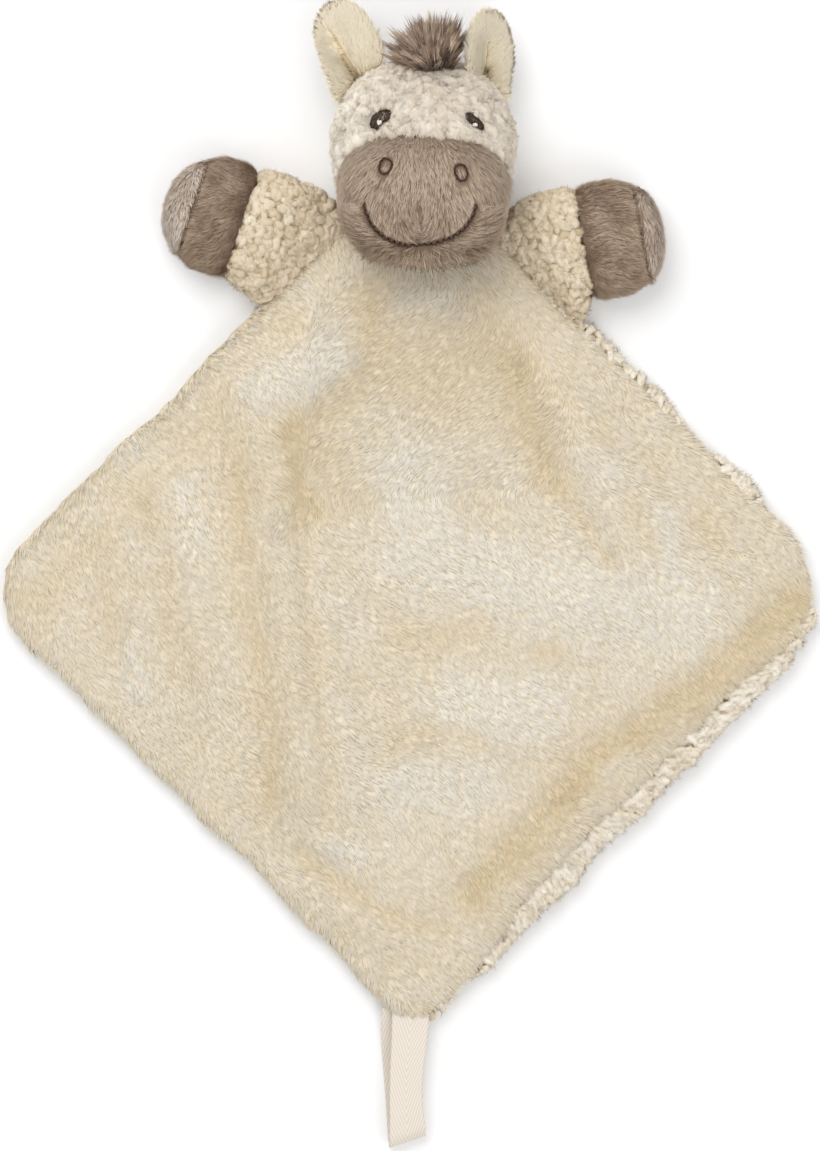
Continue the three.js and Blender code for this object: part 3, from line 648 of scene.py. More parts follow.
# darker still: painted shade in the gaps between the ear's fibres
earBacking = backingMaterial("earBacking", {
    "dark": (172, 152, 118), "light": (204, 186, 152), "broadScale": 30, "fineScale": 900})
fleeceBacking = backingMaterial("fleeceBacking", {
    "dark": (206, 189, 160), "light": (224, 209, 182), "broadScale": 60, "fineScale": 900})
paleBacking = backingMaterial("paleBacking", {
    "dark": (236, 224, 204), "light": (248, 240, 226), "broadScale": 60, "fineScale": 900})
taupeBacking = backingMaterial("taupeBacking", {
    "dark": (120, 99, 83), "light": (150, 128, 110), "broadScale": 60, "fineScale": 900})
whiteFilling = backingMaterial("whiteFilling", {
    "dark": (226, 224, 218), "light": (244, 242, 238), "broadScale": 120, "fineScale": 400})


def threadMaterial(name, dark, light):
    # twisted stitching thread with a slight shine
    material, nodes, links, shader = nodeMaterial(name)
    place = nodes.new("ShaderNodeTexCoord")
    waves = nodes.new("ShaderNodeTexWave")
    waves.bands_direction = "DIAGONAL"
    waves.inputs["Scale"].default_value = 700
    waves.inputs["Distortion"].default_value = 1.5
    links.new(place.outputs["Object"], waves.inputs["Vector"])
    stops = [(0.2, *dark), (0.8, *light)]
    links.new(addRamp(nodes, links, waves.outputs["Color"], stops), shader.inputs["Base Color"])
    setFinish(shader, 0.55, 0.25)
    return material


brownThread = threadMaterial("brownThread", (44, 30, 22), (86, 65, 51))
whiteThread = threadMaterial("whiteThread", (216, 204, 190), (250, 246, 240))


# Blanket

blanketSheet = {
    "side": 251 * mm, "inset": 0.991, "height": 11 * mm,
    "foldSpread": 0.5,  # mm of fold for each pixel of its half width
    "brushed": [  # places in photograph pixels, and how far round them the nap is brushed to the left
        (400, 400, 80), (465, 420, 80), (365, 320, 60), (440, 350, 70), (350, 455, 50), (290, 520, 26),
        (525, 440, 50)],
    "paintedShades": [  # painted shade of folds, chin and parted nap: route in photograph pixels, reach in pixels, depth
        ([(230, 430), (236, 480), (242, 580), (260, 680), (268, 790)], 17, 0.55),
        ([(268, 770), (268, 815)], 17, 0.2),
        ([(285, 430), (292, 480), (312, 505)], 16, 0.8),
        ([(320, 450), (375, 480)], 34, 0.45),
        ([(300, 520), (302, 600), (312, 680), (330, 750), (322, 820)], 10, 0.3),
        ([(372, 300), (375, 350), (350, 400), (300, 415)], 20, 0.5),
        ([(145, 510), (163, 570), (167, 630), (182, 680)], 14, 0.3),
        ([(104, 580), (112, 660)], 12, 0.35),
        ([(520, 365), (538, 430), (552, 475)], 20, 0.8),
        ([(560, 490), (605, 558)], 10, 0.5),
        ([(390, 330), (430, 370), (480, 345)], 50, 0.48),
        ([(492, 300), (515, 350)], 16, 0.2),
        ([(600, 425), (606, 435)], 10, 0.4),
        ([(620, 480), (652, 552)], 8, 0.35),
        ([(645, 455), (655, 470)], 12, 0.4),
        ([(700, 515), (716, 545)], 14, 0.5),
        ([(790, 600), (720, 668), (650, 720), (590, 762), (540, 820), (470, 893)], 21, 1.0),
        ([(380, 755), (405, 735), (435, 728), (480, 742)], 14, 0.4),
        ([(298, 858), (350, 890), (400, 920), (442, 930)], 11, 0.6),
        ([(462, 508), (482, 515)], 20, 0.3),
        ([(538, 650), (556, 648)], 12, 0.45),
        ([(400, 635), (470, 630)], 22, 0.4),
        ([(30, 600), (110, 520), (230, 385), (290, 315)], 20, 0.35)],
    "paintedHighlights": [  # the same, with how strong: painted highlights on the fold ridges and where the nap lies flat
        ([(250, 380), (300, 368), (345, 352)], 24, 0.8),
        ([(182, 480), (190, 540)], 16, 0.4),
        ([(128, 640), (134, 685)], 12, 0.5),
        ([(400, 470), (420, 540), (500, 580), (600, 600), (690, 612)], 40, 0.8),
        ([(450, 700), (530, 705)], 30, 0.8),
        ([(390, 785), (470, 780)], 24, 0.7),
        ([(606, 768), (624, 756)], 9, 0.8),
        ([(590, 460), (620, 480)], 18, 0.35),
        ([(660, 510), (672, 570)], 14, 0.5),
        ([(330, 845), (350, 855)], 16, 0.4),
        ([(410, 300), (440, 292)], 18, 0.6),
        ([(330, 700), (345, 780)], 14, 0.3)],
    "folds": [  # route in photograph pixels, half width in pixels, height in mm
        ([(230, 430), (238, 500), (244, 590), (262, 690), (268, 800)], 17, -0.9),
        ([(262, 440), (272, 560), (286, 680), (298, 800)], 15, 0.9),
        ([(300, 450), (302, 560), (312, 680), (328, 750), (322, 830)], 9, -1.2),
        ([(330, 620), (350, 760), (346, 840)], 14, 0.9),
        ([(145, 510), (163, 570), (167, 630), (184, 690)], 9, -2.1),
        ([(178, 470), (190, 560), (212, 660)], 12, 1.2),
        ([(122, 600), (134, 690)], 10, 1.2),
        ([(104, 580), (112, 660)], 8, -0.9),
        ([(250, 385), (300, 370), (350, 350)], 20, 1.6),
        ([(280, 440), (300, 425), (350, 400), (378, 350)], 14, -0.9),
        ([(520, 365), (538, 430), (552, 475), (605, 560)], 14, -1.5),
        ([(575, 420), (610, 490), (640, 560)], 14, 1.0),
        ([(655, 500), (672, 570)], 12, 1.0),
        ([(695, 505), (718, 548)], 10, -1.2),
        ([(790, 600), (720, 668), (650, 720), (590, 762), (540, 820), (470, 893)], 14, -2.4),
        ([(800, 640), (700, 740), (600, 830), (500, 930)], 13, 1.8),
        ([(298, 858), (350, 890), (400, 920), (442, 930)], 11, -1.9),
        ([(330, 840), (380, 870), (430, 890)], 12, 1.0),
        ([(360, 905), (380, 960), (400, 1000)], 13, 0.8),
        ([(380, 755), (405, 735), (435, 728), (480, 742)], 9, -1.0),
        ([(390, 785), (470, 780)], 16, 0.9),
        ([(400, 480), (440, 560), (560, 600), (690, 612)], 26, 1.0),
        ([(380, 440), (420, 360), (500, 330)], 16, -0.8),
        ([(405, 305), (440, 292)], 12, 1.2),
        ([(490, 300), (515, 350)], 12, -0.8)],
    "fleeceEdges": [(45, -1.9), (135, -2.6), (225, -2.4), (315, 0.2)]}  # edge's direction, mm outwards


def foldBlanket(skin, seed):
    # presses the photographed folds into a skin as a share of its height, so the skins stay in order
    points = getPoints(skin)
    share = np.ones(len(points))
    for route, reach, height in blanketSheet["folds"]:
        away = lineDistance(points, planRoute(route))
        share += height * mm / blanketSheet["height"] * bell(away, reach * blanketSheet["foldSpread"] * mm)
    points[:, 2] *= np.clip(share, 0.5, 1.6)
    # the edges wander
    points[:, :2] *= blanketSheet["inset"]
    rim = smooth01(140 * mm, 172 * mm, np.abs(points[:, 0]) + np.abs(points[:, 1]))
    wander = 0.8 * softNoise(points, 24 * mm, seed) + 0.35 * softNoise(points, 7 * mm, seed + 5)
    points[:, :2] += unit(points[:, :2]) * (rim * wander * mm)[:, None]
    # the side corners are drawn to the left, and the bottom corner hangs over the tape
    points[:, 0] -= 2.0 * mm * smooth01(110 * mm, 175 * mm, points[:, 0])
    points[:, 0] -= 1.4 * mm * smooth01(110 * mm, 175 * mm, -points[:, 0])
    tip = bell(points[:, 0] + 1 * mm, 12 * mm) * smooth01(-150 * mm, -170 * mm, points[:, 1])
    points[:, 1] -= 2.6 * mm * tip
    points[:, 2] = np.maximum(points[:, 2], onTable)
    setPoints(skin, points)


def moveEdges(skin):
    # how far the fleece shows past the plush along each of the four edges
    points = getPoints(skin)
    for direction, move in blanketSheet["fleeceEdges"]:
        way = np.array([math.cos(math.radians(direction)), math.sin(math.radians(direction))])
        share = smooth01(98 * mm, 120 * mm, points[:, :2] @ way)
        points[:, :2] += share[:, None] * way * move * mm
    setPoints(skin, points)


def blanketSkin(name, node, seed, levels):
    skin = copyNodes(name, node)
    editAll(skin, bpy.ops.mesh.tris_convert_to_quads, face_threshold=1.0, shape_threshold=1.0)
    applyModifier(skin, "SUBSURF", levels=levels, render_levels=levels)
    applyModifier(skin, "SMOOTH", factor=0.5, iterations=3)
    foldBlanket(skin, seed)
    shadeSmooth(skin)
    return skin


def plushFlow(points, normals):
    # the nap runs down to the right, and is brushed down to the left below the chin
    seen = asSeen(points)
    still = np.ones(len(points))
    for px, py, reach in blanketSheet["brushed"]:
        still *= 1 - bell(np.linalg.norm(seen - photoPoint(px, py), axis=1), reach * pixelSize * mm)
    turn = math.radians(315) - math.radians(95) * smooth01(0.25, 0.8, 1 - still)
    turn -= math.radians(17) * smooth01(-90 * mm, -150 * mm, points[:, 0])
    turn += (0.15 * softNoise(points, 60 * mm, 11) + 0.14 * softNoise(points, 24 * mm, 12)
             + 0.07 * softNoise(points, 9 * mm, 13))
    flow = np.stack([np.cos(turn), np.sin(turn), np.zeros(len(points))], axis=1)
    # it spills over the edges, but not over the upper left one, where it runs inwards
    away = np.sign(points) * np.array([0.7, 0.7, 0.0])
    spill = smooth01(164 * mm, 175 * mm, np.abs(points[:, 0]) + np.abs(points[:, 1]))
    spill *= np.where((points[:, 0] < 0) & (points[:, 1] > 0), 0.25, 1.2)
    return flow + away * spill[:, None]


def plushTone(points, normals):
    tone = 0.78 + 0.03 * softNoise(points, 45 * mm, 21) + 0.04 * softNoise(points, 14 * mm, 22)
    tone += 0.03 * softNoise(points, 4 * mm, 23)
    # the tint wanders a little at random; painted shade darkens the fold valleys, painted highlights lighten
    # the ridges
    for route, reach, shadeDepth in blanketSheet["paintedShades"]:
        tone -= 0.5 * shadeDepth * bell(lineDistance(points, planRoute(route)), reach * pixelSize * mm)
    for route, reach, highlightStrength in blanketSheet["paintedHighlights"]:
        tone += 0.45 * highlightStrength * bell(lineDistance(points, planRoute(route)), reach * pixelSize * mm)
    return tone


plushPile = {
    "count": 38000, "length": 4.5 * mm, "width": 0.54 * mm, "lift": 0.17, "liftStray": 0.05, "stray": 0.08,
    "sink": 0.15 * mm, "tintStray": 0.03, "floor": 0.1 * mm, "soft": 0.92, "round": 0.12, "each": 9,
    "gather": 0.35, "lockStray": 0.025, "lockTint": 0.035, "darkShare": 0.008, "darkStep": 0.6}

plushFront = blanketSkin("plushFront", "blanket_front", 61, 3)
plushFront.data.materials.append(creamBacking)
fleeceBack = blanketSkin("fleeceBack", "blanket_back", 62, 2)
moveEdges(fleeceBack)
fleeceBack.data.materials.append(fleeceBacking)
report("blanket skins")

plushPile["over"] = heightField(plushFront, 2 * mm)
plushPiles = []
for part in [1, 2, 3]:
    # three equal layers, because a piece has to stay small enough
    settings = dict(plushPile, seed=100 + part)
    plushPiles.append(growPile("plushPile%d" % part, plushFront, settings, plushFlow, plushTone, creamPile,
                               facingUp(-0.25)))
report("plush pile")

fleeceCurls = {
    "count": 1700, "seed": 131, "reach": 2.1 * mm, "girth": 1.8 * mm, "height": 0.7, "arc": 3.0,
    "taper": 0.25, "steps": 4, "sides": 6, "stray": 3.0, "tilt": 0.35, "sink": 1.3 * mm,
    "wobble": 0.5 * mm, "wobbleSize": 3 * mm, "tintStray": 0.16, "floor": 0.05 * mm}
rimCurls = dict(fleeceCurls, count=1000, seed=132, steps=6, sides=7, reach=3.1 * mm, girth=1.5 * mm, arc=1.9,
                stray=0.35, sink=1.0 * mm, tintStray=0.08, taper=0.5)
curlFuzz = {
    "seed": 141, "sink": 0.1 * mm, "tintStray": 0.12, "liftStray": 0.35, "floor": 0.05 * mm, "soft": 0.8,
    "round": 0.2}
rimFuzz = dict(curlFuzz, count=16500, length=2.8 * mm, width=0.26 * mm, lift=0.5, stray=0.4,
               lean=(0, 0.1, 0.4))

sideCorner = 177.5 * mm
neckSide, neckEnd = 26 * mm, 151.5 * mm
blanketRim = [(0, -sideCorner), (sideCorner, 0), (neckSide, neckEnd), (-neckSide, neckEnd), (-sideCorner, 0),
              (0, -sideCorner)]
underLeftSleeve = planRoute([(256, 322), (298, 286)])
plushTree = treeOf(plushFront)


def underside(points, normals):
    return np.where(normals[:, 2] < 0.2, 1.0, 0.0)


def pastPlush(points, normals):
    # where the fleece shows past the plush when seen from above
    shown = np.zeros(len(points))
    for index, (point, normal) in enumerate(zip(points, normals)):
        if normal[2] > -0.6:
            hit = plushTree.ray_cast(Vector(point), Vector((0, 0, 1)), 12 * mm)
            shown[index] = 1.0 if hit[0] is None else 0.0
    # on the left it only shows a little, under the sleeve
    corner = lineDistance(points, underLeftSleeve) < 2.2 * mm
    shown[points[:, 0] < -4 * mm] = 0.0
    return np.where(corner & (normals[:, 2] > -0.6), 1.0, shown)


def anyWay(points, normals):
    # neighbours point in unlike directions
    turn = points[:, 0] * 9000
    return np.stack([np.cos(turn), np.sin(turn), np.zeros(len(points))], axis=1)


def outward(points, normals):
    return np.column_stack([points[:, :2], np.zeros(len(points))])


curlTone = mottled(0.5, 0.12, 12 * mm, 31)
rimTone = mottled(0.76, 0.1, 10 * mm, 33)
backCurls = growCurls("fleeceCurls", fleeceBack, fleeceCurls, anyWay, curlTone, fleeceCurl, underside)
rimPiece = growCurls("fleeceRim", fleeceBack, rimCurls, outward, rimTone, fleeceCurl, pastPlush)
rimFuzzPiece = growPile("fleeceRimFuzz", rimPiece, rimFuzz, outward, rimTone, fleeceCurl)
fleecePieces = [backCurls, rimPiece, rimFuzzPiece]
report("fleece curls")

for piece in [plushFront, fleeceBack, *fleecePieces, *plushPiles]:
    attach(piece, "blanket")
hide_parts("blanket_front")
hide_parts("blanket_back")


# Stuffed parts: what they share

def seamPoints(nodeA, nodeB, gap):
    # where the edges of two covers meet
    other = copyNodes("seamFinder", nodeB)
    tree = treeOf(other)
    first = copyNodes("seamStart", nodeA)
    found = [point for point in getPoints(first) if tree.find_nearest(Vector(point))[3] < gap]
    bpy.data.objects.remove(other)
    bpy.data.objects.remove(first)
    return np.array(found)


def outFrom(points, start, end):
    # the ways out from a line inside a part
    start, end = np.array(start), np.array(end)
    along = end - start
    share = np.clip(((points - start) @ along) / max(along @ along, 1e-12), 0, 1)
    return unit(points - start - share[:, None] * along)


def openSide(obj, thinned=0.5):
    # keeps the outer side of a hollow cover: nothing of the cover lies straight ahead of it
    tree = treeOf(obj)

    def weight(points, normals):
        free = np.where(normals[:, 2] < -0.4, thinned, 1.0)
        for index, (point, normal) in enumerate(zip(points, normals)):
            if tree.ray_cast(Vector(point + normal * 0.4 * mm), Vector(normal), 60 * mm)[0] is not None:
                free[index] = 0.0
        return free
    return weight


def tuckSeam(obj, seams, reach, depth, start, end):
    # draws the cloth in along a seam, towards a line inside the part
    points = getPoints(obj)
    inwards = bell(distanceTo(points, seams), reach)[:, None]
    setPoints(obj, points - outFrom(points, start, end) * depth * inwards)


def slid(points, seams, shift, reach, above):
    # the upper half of a seam moved in plan, with the cloth on both sides of it
    share = bell(distanceTo(points, seams), reach) * smooth01(above - 8 * mm, above + 4 * mm, points[:, 2])
    moved = points.copy()
    moved[:, :2] += share[:, None] * shift
    return moved


def seamRoute(seams, along, above, steps=8):
    # the upper half of a seam round a limb as a broken line, as the camera sees it
    upper = seams[seams[:, 2] > above]
    across = upper[:, :2] @ np.array([-along[1], along[0]])
    edges = np.linspace(across.min(), across.max() + 1e-6, steps + 1)
    which = np.digitize(across, edges)
    seen = asSeen(upper)
    return [seen[which == k].mean(axis=0) for k in range(1, steps + 1) if (which == k).any()]


def closeSeam(obj, seams, move):
    # pushes the edge of a cover across its seam, under the next cover
    points = getPoints(obj)
    points[:, :2] += move * bell(distanceTo(points, seams), 2.4 * mm)[:, None]
    setPoints(obj, points)


def flattenEnd(obj, seams, root, tip, share):
    # presses the end of a limb back towards the plane of its last seam
    along = unit(np.array(tip) - np.array(root))
    across = np.array([-along[1], along[0]])

    def table(spots):
        # the seam leans, so its place along the limb depends on how far aside and how high it is
        return np.column_stack([spots[:, :2] @ across, spots[:, 2], np.ones(len(spots))])

    plane = np.linalg.lstsq(table(seams), seams[:, :2] @ along, rcond=None)[0]
    points = getPoints(obj)
    past = points[:, :2] @ along - table(points) @ plane
    points[:, :2] -= np.maximum(past, 0)[:, None] * along * (1 - share)
    setPoints(obj, points)


def stopAt(lines, reach, above):
    # shortens fibres of the upper side that would lie over a stitched line
    def shorten(points, course, length):
        scale = np.ones(len(points))
        for share in np.linspace(1.0, 0.1, 10):
            spots = points + course * length * share
            over = np.zeros(len(points), dtype=bool)
            for line in lines:
                over |= lineDistance(spots, line) < reach
            scale = np.where(over, max(share - 0.12, 0.15), scale)
        return np.where(points[:, 2] > above, scale, 1.0)
    return shorten


def dent(obj, route, reach, depth, above):
    # pulls a stitched line into the cloth, seen from above
    points = getPoints(obj)
    hollow = depth * bell(lineDistance(points, route), reach)
    points[:, 2] -= hollow * smooth01(above - 3 * mm, above, points[:, 2])
    setPoints(obj, points)


def skinMaterial(obj, material):
    obj.data.materials.clear()
    obj.data.materials.append(material)


# Head

headPuff = {"pressure": 6.0, "frames": 20, "cap": 1.5 * mm}
headSizes = {
    "formStep": 2.5 * mm, "coverStep": 1.1 * mm, "fillingStep": 2 * mm, "neckEnd": 154 * mm,
    "faceTop": 20 * mm,  # the side that faces up begins at this height
    "chinHeight": 40 * mm, "seamGap": 0.7 * mm, "pinReach": 3.2 * mm}
faceTop = headSizes["faceTop"]
headForm = stuffedForm("headForm", ["head_cover_front", "head_cover_back", "muzzle_cover", "head_stuffing"],
                       headSizes["formStep"])
faceSeam = np.concatenate([seamPoints("muzzle_cover", "head_cover_front", headSizes["seamGap"]),
                           seamPoints("muzzle_cover", "head_cover_back", headSizes["seamGap"])])
headMiddle = sum((Vector(corner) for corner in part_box("head_stuffing")), Vector()) / 2
formPoints = getPoints(headForm)
pinned = distanceTo(formPoints, faceSeam) < headSizes["pinReach"]
pinned |= formPoints[:, 1] < headSizes["neckEnd"]
headBefore, headAfter = inflate(headForm, headPuff, pinned)
report("head form, moved up to %.1f mm" % (1000 * np.linalg.norm(headAfter - headBefore, axis=1).max()))
bpy.data.objects.remove(headForm)

face = {  # photograph pixels; nostrils and glints give their middle and half sizes, nostrils a slant too
    "leftNostril": (385.8, 165.8, 6.0, 8.0, 0.42), "rightNostril": (461.0, 172.2, 6.0, 8.6, -0.26),
    "leftEye": [(391.5, 111.2), (386.9, 109.0), (381.5, 110.2), (376.5, 113.4), (372.8, 118.0),
                (371.2, 123.0), (372.2, 127.2), (375.6, 127.3), (377.6, 129.4), (380.2, 125.4),
                (384.0, 121.2), (388.2, 120.2), (390.2, 116.0)],
    "rightEye": [(465.6, 112.6), (470.5, 113.2), (475.0, 116.4), (478.8, 120.6), (481.2, 124.2),
                 (482.6, 127.6), (480.2, 129.8), (476.8, 126.4), (472.6, 124.0), (468.6, 121.8),
                 (465.2, 117.4)],
    "leftGlint": (380.6, 121.8, 2.6, 3.0), "rightGlint": (473.4, 124.6, 2.6, 2.2),
    "dart": [(420, 204), (421, 222), (419.5, 240)],
    "smile": [(364.6, 203), (366.5, 212), (371.1, 221.5), (378, 230), (386.7, 236.9), (397, 241.4),
              (409, 243.6), (420, 243.4), (431.1, 241.6), (443, 238.9), (453.3, 235), (461, 229.8),
              (466.7, 224), (471.5, 216), (474.5, 208.5), (475.5, 204)]}
smileRoute = planRoute(face["smile"])
dartRoute = planRoute(face["dart"])
eyeRoutes = {side: planRoute(face[side + "Eye"] + face[side + "Eye"][:1]) for side in ["left", "right"]}

foreheadCover = coverSkin("foreheadCover", "head_cover_front", headSizes["coverStep"])
backHeadCover = coverSkin("backHeadCover", "head_cover_back", headSizes["coverStep"])
muzzleCover = coverSkin("muzzleCover", "muzzle_cover", headSizes["coverStep"])
headFilling = coverSkin("headFilling", "head_stuffing", headSizes["fillingStep"], 4)
headCovers = [foreheadCover, backHeadCover, muzzleCover]
for cover in headCovers:
    carry(cover, headBefore, headAfter)
for cover in [foreheadCover, backHeadCover]:
    # the cheeks lie a little inside the outline that their wool gives
    points = getPoints(cover)
    aside = points[:, 0] - headMiddle.x
    points[:, 0] -= 2.4 * mm * smooth01(4 * mm, 37 * mm, aside) - 0.7 * mm * smooth01(4 * mm, 37 * mm, -aside)
    setPoints(cover, points)
for cover in headCovers:
    tuckSeam(cover, faceSeam, 2.0 * mm, 0.6 * mm, headMiddle, headMiddle)
dent(muzzleCover, smileRoute, 2.0 * mm, 1.3 * mm, faceTop)
dent(muzzleCover, dartRoute, 2.0 * mm, 1.7 * mm, faceTop)
for side in ["left", "right"]:
    px, py = face[side + "Nostril"][:2]
    dent(muzzleCover, planRoute([(px, py), (px + 0.5, py)]), 3.0 * mm, 0.8 * mm, faceTop)
    dent(foreheadCover, planRoute(face[side + "Eye"]), 2.6 * mm, 1.0 * mm, faceTop)
for cover in headCovers:
    aboveTable(cover)
skinMaterial(foreheadCover, paleBacking)
skinMaterial(backHeadCover, paleBacking)
skinMaterial(muzzleCover, taupeBacking)
skinMaterial(headFilling, whiteFilling)
coverTrees = [treeOf(cover) for cover in headCovers]


def openUnderside(points, normals):
    # the neck opening under the chin, where no cover lies over the filling
    shown = np.zeros(len(points))
    for index, (point, normal) in enumerate(zip(points, normals)):
        hits = [tree.ray_cast(Vector(point), Vector(normal), 10 * mm)[0] for tree in coverTrees]
        shown[index] = 0.0 if any(hit is not None for hit in hits) else 1.0
    return shown


points, normals = getPoints(headFilling), getNormals(headFilling)
opening = openUnderside(points, normals)
setPoints(headFilling, points - normals * 1.5 * mm * (1 - opening)[:, None])
# taupe plush is sewn across the opening
headFilling.data.materials.append(taupeBacking)
sewnOver = distanceTo(points, points[opening > 0.5]) < 4 * mm
for polygon in headFilling.data.polygons:
    if sewnOver[list(polygon.vertices)].all():
        polygon.material_index = 1
report("filling, %.0f%% of it in the neck opening" % (100 * opening.mean()))


def headOutside(points, normals):
    # keeps the outer side of the head's covers: faces that turn away from its middle
    return ((outFrom(points, headMiddle, headMiddle) * normals).sum(axis=1) > 0.05).astype(float)


def stitchedClear(points, lines, reach):
    # pile stays off the embroidery on the upper side
    clear = np.ones(len(points))
    for line in lines:
        clear *= np.where((lineDistance(points, line) < reach) & (points[:, 2] > faceTop), 0.0, 1.0)
    return clear


def foreheadFlow(points, normals):
    turn = math.radians(262) + 0.5 * softNoise(points, 26 * mm, 41) + 0.3 * softNoise(points, 9 * mm, 42)
    return np.stack([np.cos(turn), np.sin(turn), np.full(len(points), -0.3)], axis=1)


def woolCurlTone(points, normals):
    # the left side is lighter: painted light
    leftSide = smooth01(8 * mm, 34 * mm, headMiddle.x - points[:, 0])
    return 0.5 + 0.35 * leftSide + 0.16 * softNoise(points, 10 * mm, 43)


foreheadTone = mottled(0.8, 0.1, 4 * mm, 44)
foreheadCurls = {
    "seed": 211, "reach": 3.2 * mm, "girth": 1.8 * mm, "height": 0.44, "arc": 2.1, "taper": 0.6,
    "steps": 6, "sides": 8, "stray": 0.6, "tilt": 0.3, "sink": 1.5 * mm, "wobble": 0.7 * mm,
    "wobbleSize": 4.0 * mm, "tintStray": 0.1, "floor": 0.1 * mm}
foreheadWool = dict(curlFuzz, length=3.4 * mm, width=0.24 * mm, lift=0.55, liftStray=0.3, stray=0.5,
                    sink=-0.6 * mm, each=8, gather=0.5, lockStray=0.1, lockTint=0.1, tintStray=0.1, soft=0.9,
                    round=0.1, ridge=0.3, lean=(0, 0.3, 0.4))
foreheadWool["stop"] = stopAt(list(eyeRoutes.values()), 0.3 * mm, faceTop)


def clearOf(lines, reach):
    # the outer side of the head, apart from the embroidery
    def weight(points, normals):
        return headOutside(points, normals) * stitchedClear(points, lines, reach)
    return weight


woolPieces = []
for name, skin, curls, fibres in [("forehead", foreheadCover, 900, 18500),
                                  ("backHead", backHeadCover, 380, 4000)]:
    woolPieces.append(growCurls(name + "Curls", skin, dict(foreheadCurls, count=curls), foreheadFlow,
                                woolCurlTone, foreheadCurl, clearOf(eyeRoutes.values(), 2.6 * mm)))
    woolPieces.append(growPile(name + "Wool", skin, dict(foreheadWool, count=fibres), foreheadFlow,
                               foreheadTone, foreheadPile, clearOf(eyeRoutes.values(), 0.8 * mm)))
report("head covers and their fleece")


smileArc = {"middle": (420.5, 205), "halfWidth": 55.5, "depth": 39}  # photograph pixels


def muzzleFlow(points, normals):
    # combed down from the top seam, drawn in to the middle of the smile, spread out round the chin
    top, low = photoPoint(421, 120), photoPoint(420, 226)
    points = np.column_stack([asSeen(points), points[:, 2]])
    aside = (points[:, 0] - top[0]) / (33 * mm)
    down = np.stack([0.62 * aside, np.full(len(points), -1.0)], axis=1)
    inward = unit(low - points[:, :2])
    outwards = unit(points[:, :2] - low + np.array([0, 6 * mm]))
    fold = bell(points[:, 0] - low[0], 9 * mm) * smooth01(
        photoPoint(0, 192)[1], photoPoint(0, 214)[1], points[:, 1])
    arcMiddle = photoPoint(*smileArc["middle"])
    across = (points[:, 0] - arcMiddle[0]) / (smileArc["halfWidth"] * pixelSize * mm)
    smile = arcMiddle[1] - smileArc["depth"] * pixelSize * mm * np.sqrt(np.clip(1 - across ** 2, 0, 1))
    under = smooth01(smile + 1 * mm, smile - 1 * mm, points[:, 1])
    course = down * (1 - 0.75 * fold)[:, None] + inward * (0.75 * fold)[:, None]
    course = course * (1 - under)[:, None] + outwards * under[:, None]
    turn = 0.16 * softNoise(points, 14 * mm, 51) + 0.05 * softNoise(points, 4 * mm, 50)
    return np.stack([course[:, 0] - turn * course[:, 1], course[:, 1] + turn * course[:, 0],
                     np.full(len(points), -0.1)], axis=1)


def muzzleTone(points, normals):
    # darker towards the chin, partly its darker fur and partly painted shade under the light from above;
    # painted shade in the smile's groove and the dart's crease
    lower = smooth01(photoPoint(0, 170)[1], photoPoint(0, 262)[1], points[:, 1])
    streak = softNoise(points * np.array([1.0, 0.25, 1.0]), 1.6 * mm, 54)
    tone = 0.92 - 0.36 * lower + 0.08 * softNoise(points, 18 * mm, 52) + 0.05 * softNoise(points, 4 * mm, 53)
    tone += (0.05 + 0.1 * lower) * streak
    groove = bell(lineDistance(points, smileRoute), 2.0 * mm)
    crease = bell(lineDistance(points, dartRoute), 1.5 * mm)
    return tone - 0.12 * groove - 0.5 * crease


def ringRoute(px, py, halfWide, halfTall, slant):
    # a slanted oval in photograph pixels
    route = []
    for k in range(17):
        turn = 2 * math.pi * k / 16
        u, v = halfWide * math.cos(turn), halfTall * math.sin(turn)
        route.append(photoPoint(px + u * math.cos(slant) - v * math.sin(slant),
                                py + u * math.sin(slant) + v * math.cos(slant)))
    return route


muzzleLines = [smileRoute, ringRoute(*face["leftNostril"]), ringRoute(*face["rightNostril"])]
muzzlePile = {
    "count": 38000, "seed": 221, "length": 4.8 * mm, "width": 0.33 * mm, "lift": 0.24, "liftStray": 0.09,
    "stray": 0.07, "sink": 0.3 * mm, "tintStray": 0.24, "soft": 0.78, "round": 0.25, "floor": 0.1 * mm,
    "each": 8, "gather": 0.32, "lockStray": 0.04, "lockTint": 0.12, "darkShare": 0.08,
    "stop": stopAt(muzzleLines, 0.42 * mm, faceTop)}
chinPile = dict(muzzlePile, count=3600, seed=231, length=6.6 * mm, lift=0.42, liftStray=0.2, stray=0.3,
                each=10, gather=0.6, lockStray=0.12, lockTint=0.14)
neckPile = dict(muzzlePile, count=3000, seed=241, sink=-0.8 * mm, lift=0.3)


def chinWeight(points, normals):
    # the fringe under the smile, where the muzzle turns down to the blanket
    high = headSizes["chinHeight"]
    below = smooth01(photoPoint(0, 243, high)[1], photoPoint(0, 254, high)[1], points[:, 1])
    return headOutside(points, normals) * below * (points[:, 2] > 14 * mm)


def chinFlow(points, normals):
    middle = photoPoint(420, 200, headSizes["chinHeight"])
    return np.column_stack([points[:, :2] - middle, np.full(len(points), -0.2 * mm)])


def chinward(points, normals):
    # over the neck opening, towards the blanket
    aside = 0.2 * softNoise(points, 12 * mm, 58)
    return np.column_stack([aside, -np.ones(len(points)), np.zeros(len(points))])


underPile = growPile("underPile", headFilling, neckPile, chinward, muzzleTone, taupePile, openUnderside)
muzzleFur = growPile("muzzlePile", muzzleCover, muzzlePile, muzzleFlow, muzzleTone, taupePile,
                     clearOf(muzzleLines, 0.35 * mm))
chinFur = growPile("chinPile", muzzleCover, chinPile, chinFlow, muzzleTone, taupePile, chinWeight)
report("muzzle pile")


# Embroidery, laid on the face from above

